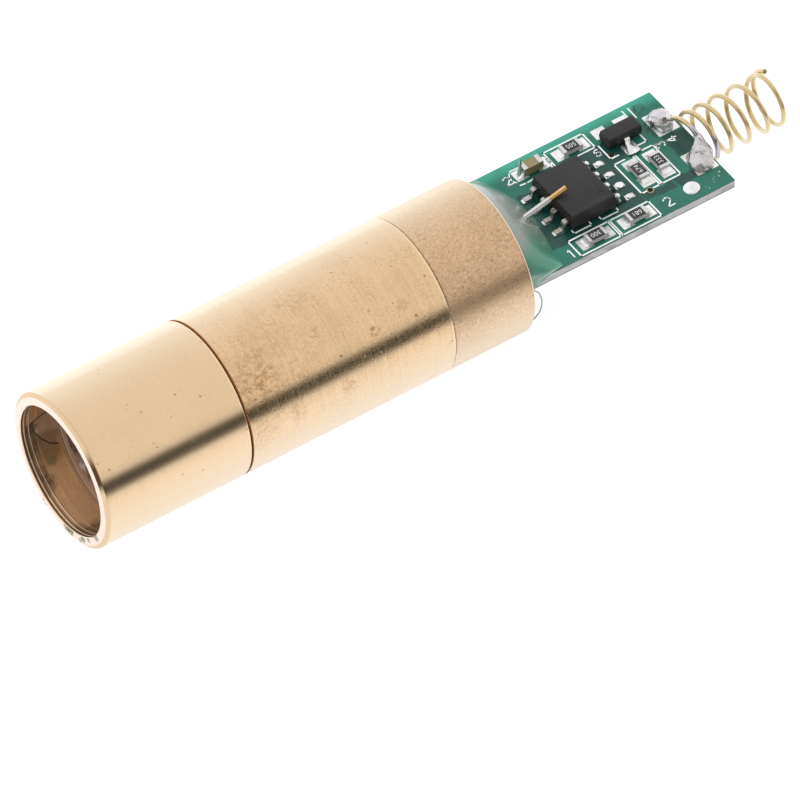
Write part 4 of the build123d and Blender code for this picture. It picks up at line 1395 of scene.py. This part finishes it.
class LASER_OT_wires(bpy.types.Operator):
    """Winds the battery spring and bends the diode's lead"""

    bl_idname = "laser_module.wires"
    bl_label = "Spring and lead"

    wire_radius = 0.19
    coil_radius = 1.985
    lead_radius = 0.2
    sleeve_radius = 0.235

    # The spring's stations: turned angle in degrees, x from the board's end and height of the axis
    stations = [
        (22, -0.8, 1.3), (135, -0.31, 1.3), (165, 0.2, 1.3), (408, 0.42, 1.3), (768, 1.61, 1.31),
        (948, 2.24, 1.34), (1668, 5.45, 1.46), (1848, 6.47, 1.49), (2028, 6.68, 1.44), (2228, 6.87, 1.72),
    ]

    # The turned angles that are tinned: the last of the soldered end, and a splash on the next turn
    tinned_turns = ((100, 250), (500, 560))

    # Where the lead is level again, its bared share from its tip, and one of its steps, in mm
    climb_end = 31.03
    bare_share = 0.255
    step = 0.12

    def execute(self, context):
        settings = context.scene.laser_wires
        self.spring(settings)
        self.lead(settings, context.scene.laser_board.tin_colour)
        return {"FINISHED"}

    def spring_point(self, angle):
        for before, after in zip(self.stations, self.stations[1:]):
            if angle <= after[0] + 1e-9:
                break
        share = (angle - before[0]) / (after[0] - before[0])
        x, height = (a + share * (b - a) for a, b in zip(before[1:], after[1:]))
        turn = math.radians(angle)
        return (
            BOARD_END + x, self.coil_radius * math.cos(turn), height + self.coil_radius * math.sin(turn)
        )

    def spring(self, settings):
        start, end = self.stations[0][0], self.stations[-1][0]
        samples = round((end - start) / 360 * settings.turn_samples)
        angles = [start + (end - start) * i / samples for i in range(samples + 1)]
        points = [self.spring_point(angle) for angle in angles]
        tin_share = [float(any(a < angle < b for a, b in self.tinned_turns)) for angle in angles]
        piece = wire(points, self.wire_radius, settings.wire_sides)
        mark_along(piece, "tinned", points, tin_share)
        gilt = two_metal_wire("spring_gilt", settings.spring_colour, (0.55, 0.53, 0.56), 0.33, 0.25)
        settle(piece, "contact_spring", gilt, ["battery_spring"], smooth=60)

    def lead(self, settings, tin_colour):
        low, high = (Vector(corner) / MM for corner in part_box("diode_lead"))
        level = BOARD_TOP + self.lead_radius + 0.16
        room = self.climb_end - low.x
        bend = Vector((BARREL_END + 0.9, -0.5, level))
        tip = Vector((BARREL_END + 6.26, -0.67, BOARD_TOP + 2.1))
        corners = [
            Vector((low.x, 0, 1.0)), Vector((low.x + room * 0.3, 0, 1.0)),
            Vector((low.x + room * 0.72, 0, level)), bend, tip,
        ]
        points = []
        for a, b in zip(corners, corners[1:]):
            steps = max(2, round((b - a).length / self.step))
            points += [a.lerp(b, i / steps) for i in range(steps)]
        points.append(tip)
        change = tip.lerp(bend, self.bare_share).x
        sleeve = [point for point in points if point.x < change]
        bare = [sleeve[-1], *points[len(sleeve):]]
        pieces = []
        for run, radius, share in ((sleeve, self.sleeve_radius, 1.0), (bare, self.lead_radius, 0.0)):
            part = wire(run, radius, settings.wire_sides)
            mark_along(part, "tinned", run, [share] * len(run))
            pieces.append(part)
        gilt = two_metal_wire("lead_gilt", settings.gold_colour, tin_colour, 0.25, 0.22)
        settle(join(pieces), "gilt_lead", gilt, ["diode_lead"], smooth=60)


# Potting


class LASER_OT_potting(bpy.types.Operator):
    """Pours the potting round the board at the rear mouth"""

    bl_idname = "laser_module.potting"
    bl_label = "Potting"

    # The surface's sizes in mm: its rim, its half width, its reach over the board and its swell
    rim_radius = 5.62
    half_width = 5.21
    reach_over = 3.85
    swell = 0.22

    # How fast the reach falls off to each side of a middle line, and where it stops falling
    bends = (0.069, 0.034)
    bend_middle = 1
    bend_limit = -3.9

    # How deep the potting lies inside the mouth, how much narrower, and the share of rows for it
    depth = 2.4
    narrowing = 0.975
    inner_share = 0.1

    around = 120
    rows = 18

    # The fine thread of resin that lies over the potting
    strand = [(37.7, -1.59, 4.15), (38.35, -1.87, 3.46), (39.02, -1.64, 2.75), (39.46, -1.59, 2.29)]

    # The thin edge of resin left standing outside the mouth, below the board: x from the barrel's
    # end in mm and the angle from +Y towards +Z
    lip = [(-0.05, 166), (0.45, 171), (0.65, 178), (0.68, 186), (0.55, 193), (0.25, 200), (-0.05, 204)]
    lip_radius = 5.75

    def execute(self, context):
        piece = added(
            bpy.ops.mesh.primitive_grid_add, x_subdivisions=self.around, y_subdivisions=self.rows, size=1
        )
        for vertex in piece.data.vertices:
            angle = (vertex.co.x + 0.5) * 2 * math.pi
            vertex.co = self.surface(angle, vertex.co.y + 0.5)
        with editing():
            bpy.ops.mesh.remove_doubles(threshold=1e-7)
            bpy.ops.mesh.select_all(action="DESELECT")
            bpy.ops.mesh.select_mode(type="EDGE")
            bpy.ops.mesh.select_non_manifold()
            bpy.ops.mesh.edge_face_add()
            close_mesh()
        resin = self.resin(context.scene.laser_potting)
        settle(piece, "poured_potting", resin, ["rear_potting"], smooth=40)
        thread("resin_strand", self.strand, 0.024, (0.72, 0.75, 0.68), 0.3, 0.2)
        lip = line_round(self.lip, 4, self.lip_radius, BARREL_END)
        thread("resin_lip", lip, 0.045, (0.4, 0.38, 0.35), 0.35, 0.3)
        return {"FINISHED"}

    def surface(self, angle, share):
        """A point of the poured surface: share 0 inside the mouth, 1 at the edge on the board."""
        rim = Vector((BARREL_END, self.rim_radius * math.cos(angle), self.rim_radius * math.sin(angle)))
        over = math.sin(angle) > BOARD_BOTTOM / self.rim_radius
        width = self.half_width * math.copysign(abs(math.cos(angle)) ** 0.8, math.cos(angle))
        if over:
            bend = self.bends[0] if width > self.bend_middle else self.bends[1]
            reach_here = self.reach_over - bend * (max(width, self.bend_limit) - self.bend_middle) ** 2
            edge = Vector((BARREL_END + reach_here, width, BOARD_TOP - 0.06))
        else:
            edge = Vector((BARREL_END + 0.1, width, BOARD_BOTTOM + 0.06))
        if share < self.inner_share:
            inside = self.depth * (1 - share / self.inner_share)
            return Vector((rim.x - inside, rim.y * self.narrowing, rim.z * self.narrowing)) * MM
        run = (share - self.inner_share) / (1 - self.inner_share)
        place = rim.lerp(edge, run)
        place.z += self.swell * math.sin(math.pi * run) * max(0.0, math.sin(angle))
        if over:
            cover = min(1.0, run / 0.3) * min(1.0, (1 - run) / 0.03)
            place.z = max(place.z, place.z + (BOARD_TOP + 0.05 - place.z) * cover)
        return place * MM

    def resin(self, settings):
        """Cloudy resin, greener where it thins out over the board."""
        material, place = new_material("potting_resin")
        axes = axes_of(place)
        clouds = noise(place, 420.0, 3.0)
        thin = reach(axes["Y"].maths("ABSOLUTE"), 0.8, 4.0) * reach(axes["Z"], 5.0, 2.6)
        thin = ramp(thin + (clouds - 0.5) * 0.3, 0.0, 1.0)
        colour = blend(thin, settings.resin_colour, settings.thin_colour)
        # A painted highlight along the potting's edge where it meets the board
        edge = reach(axes["Z"], BOARD_TOP + 0.14, BOARD_TOP + 0.02)
        edge = edge * reach(axes["X"], BARREL_END + 1.6, BARREL_END + 2.6) * reach(axes["Y"], -2.4, -0.6)
        colour = blend(edge * 0.6, colour, (0.5, 0.5, 0.38))
        side_skin = reach(axes["Y"], -5.05, -5.2) * ramp(clouds, 0.2, 0.5)
        colour = blend(side_skin * 0.5, colour, (0.5, 0.62, 0.56))
        ripples = noise(place, 900.0)
        return shade(material, colour, 0.3, bump=(ripples, 0.15, 0.05), others={"Coat Weight": 0.3})


# Panel, registration and the run


PIECE_OPERATORS = (
    LASER_OT_brass,
    LASER_OT_optics,
    LASER_OT_board,
    LASER_OT_parts,
    LASER_OT_solder,
    LASER_OT_wires,
    LASER_OT_potting,
    LASER_OT_stage,
)

SETTINGS = {
    "laser_brass": LaserBrassSettings,
    "laser_board": LaserBoardSettings,
    "laser_wires": LaserWireSettings,
    "laser_potting": LaserPottingSettings,
    "laser_stage": LaserStageSettings,
}


class LASER_PT_module(bpy.types.Panel):
    """Lists the steps that build the laser module"""

    bl_idname = "LASER_PT_module"
    bl_label = "Laser module"
    bl_space_type = "VIEW_3D"
    bl_region_type = "UI"
    bl_category = "Laser module"

    def draw(self, context):
        layout = self.layout
        for group_name in SETTINGS:
            group = getattr(context.scene, group_name)
            box = layout.box()
            for value in group.bl_rna.properties:
                if value.identifier not in {"rna_type", "name"}:
                    box.prop(group, value.identifier)
        for operator in PIECE_OPERATORS:
            layout.operator(operator.bl_idname)


def register():
    for settings in SETTINGS.values():
        bpy.utils.register_class(settings)
    for name, settings in SETTINGS.items():
        setattr(bpy.types.Scene, name, bpy.props.PointerProperty(type=settings))
    for operator in PIECE_OPERATORS:
        bpy.utils.register_class(operator)
    bpy.utils.register_class(LASER_PT_module)


def unregister():
    bpy.utils.unregister_class(LASER_PT_module)
    for operator in reversed(PIECE_OPERATORS):
        bpy.utils.unregister_class(operator)
    for name, settings in SETTINGS.items():
        delattr(bpy.types.Scene, name)
        bpy.utils.unregister_class(settings)


def main():
    register()
    turned_metal_group()
    solder_skin_group()
    fine_grain_group()
    uneven_spot_group()
    tinned_patches_group()
    bpy.ops.laser_module.brass()
    bpy.ops.laser_module.optics()
    bpy.ops.laser_module.board()
    bpy.ops.laser_module.parts()
    bpy.ops.laser_module.solder()
    bpy.ops.laser_module.wires()
    bpy.ops.laser_module.potting()
    bpy.ops.laser_module.stage()


if __name__ == "__main__":
    main()
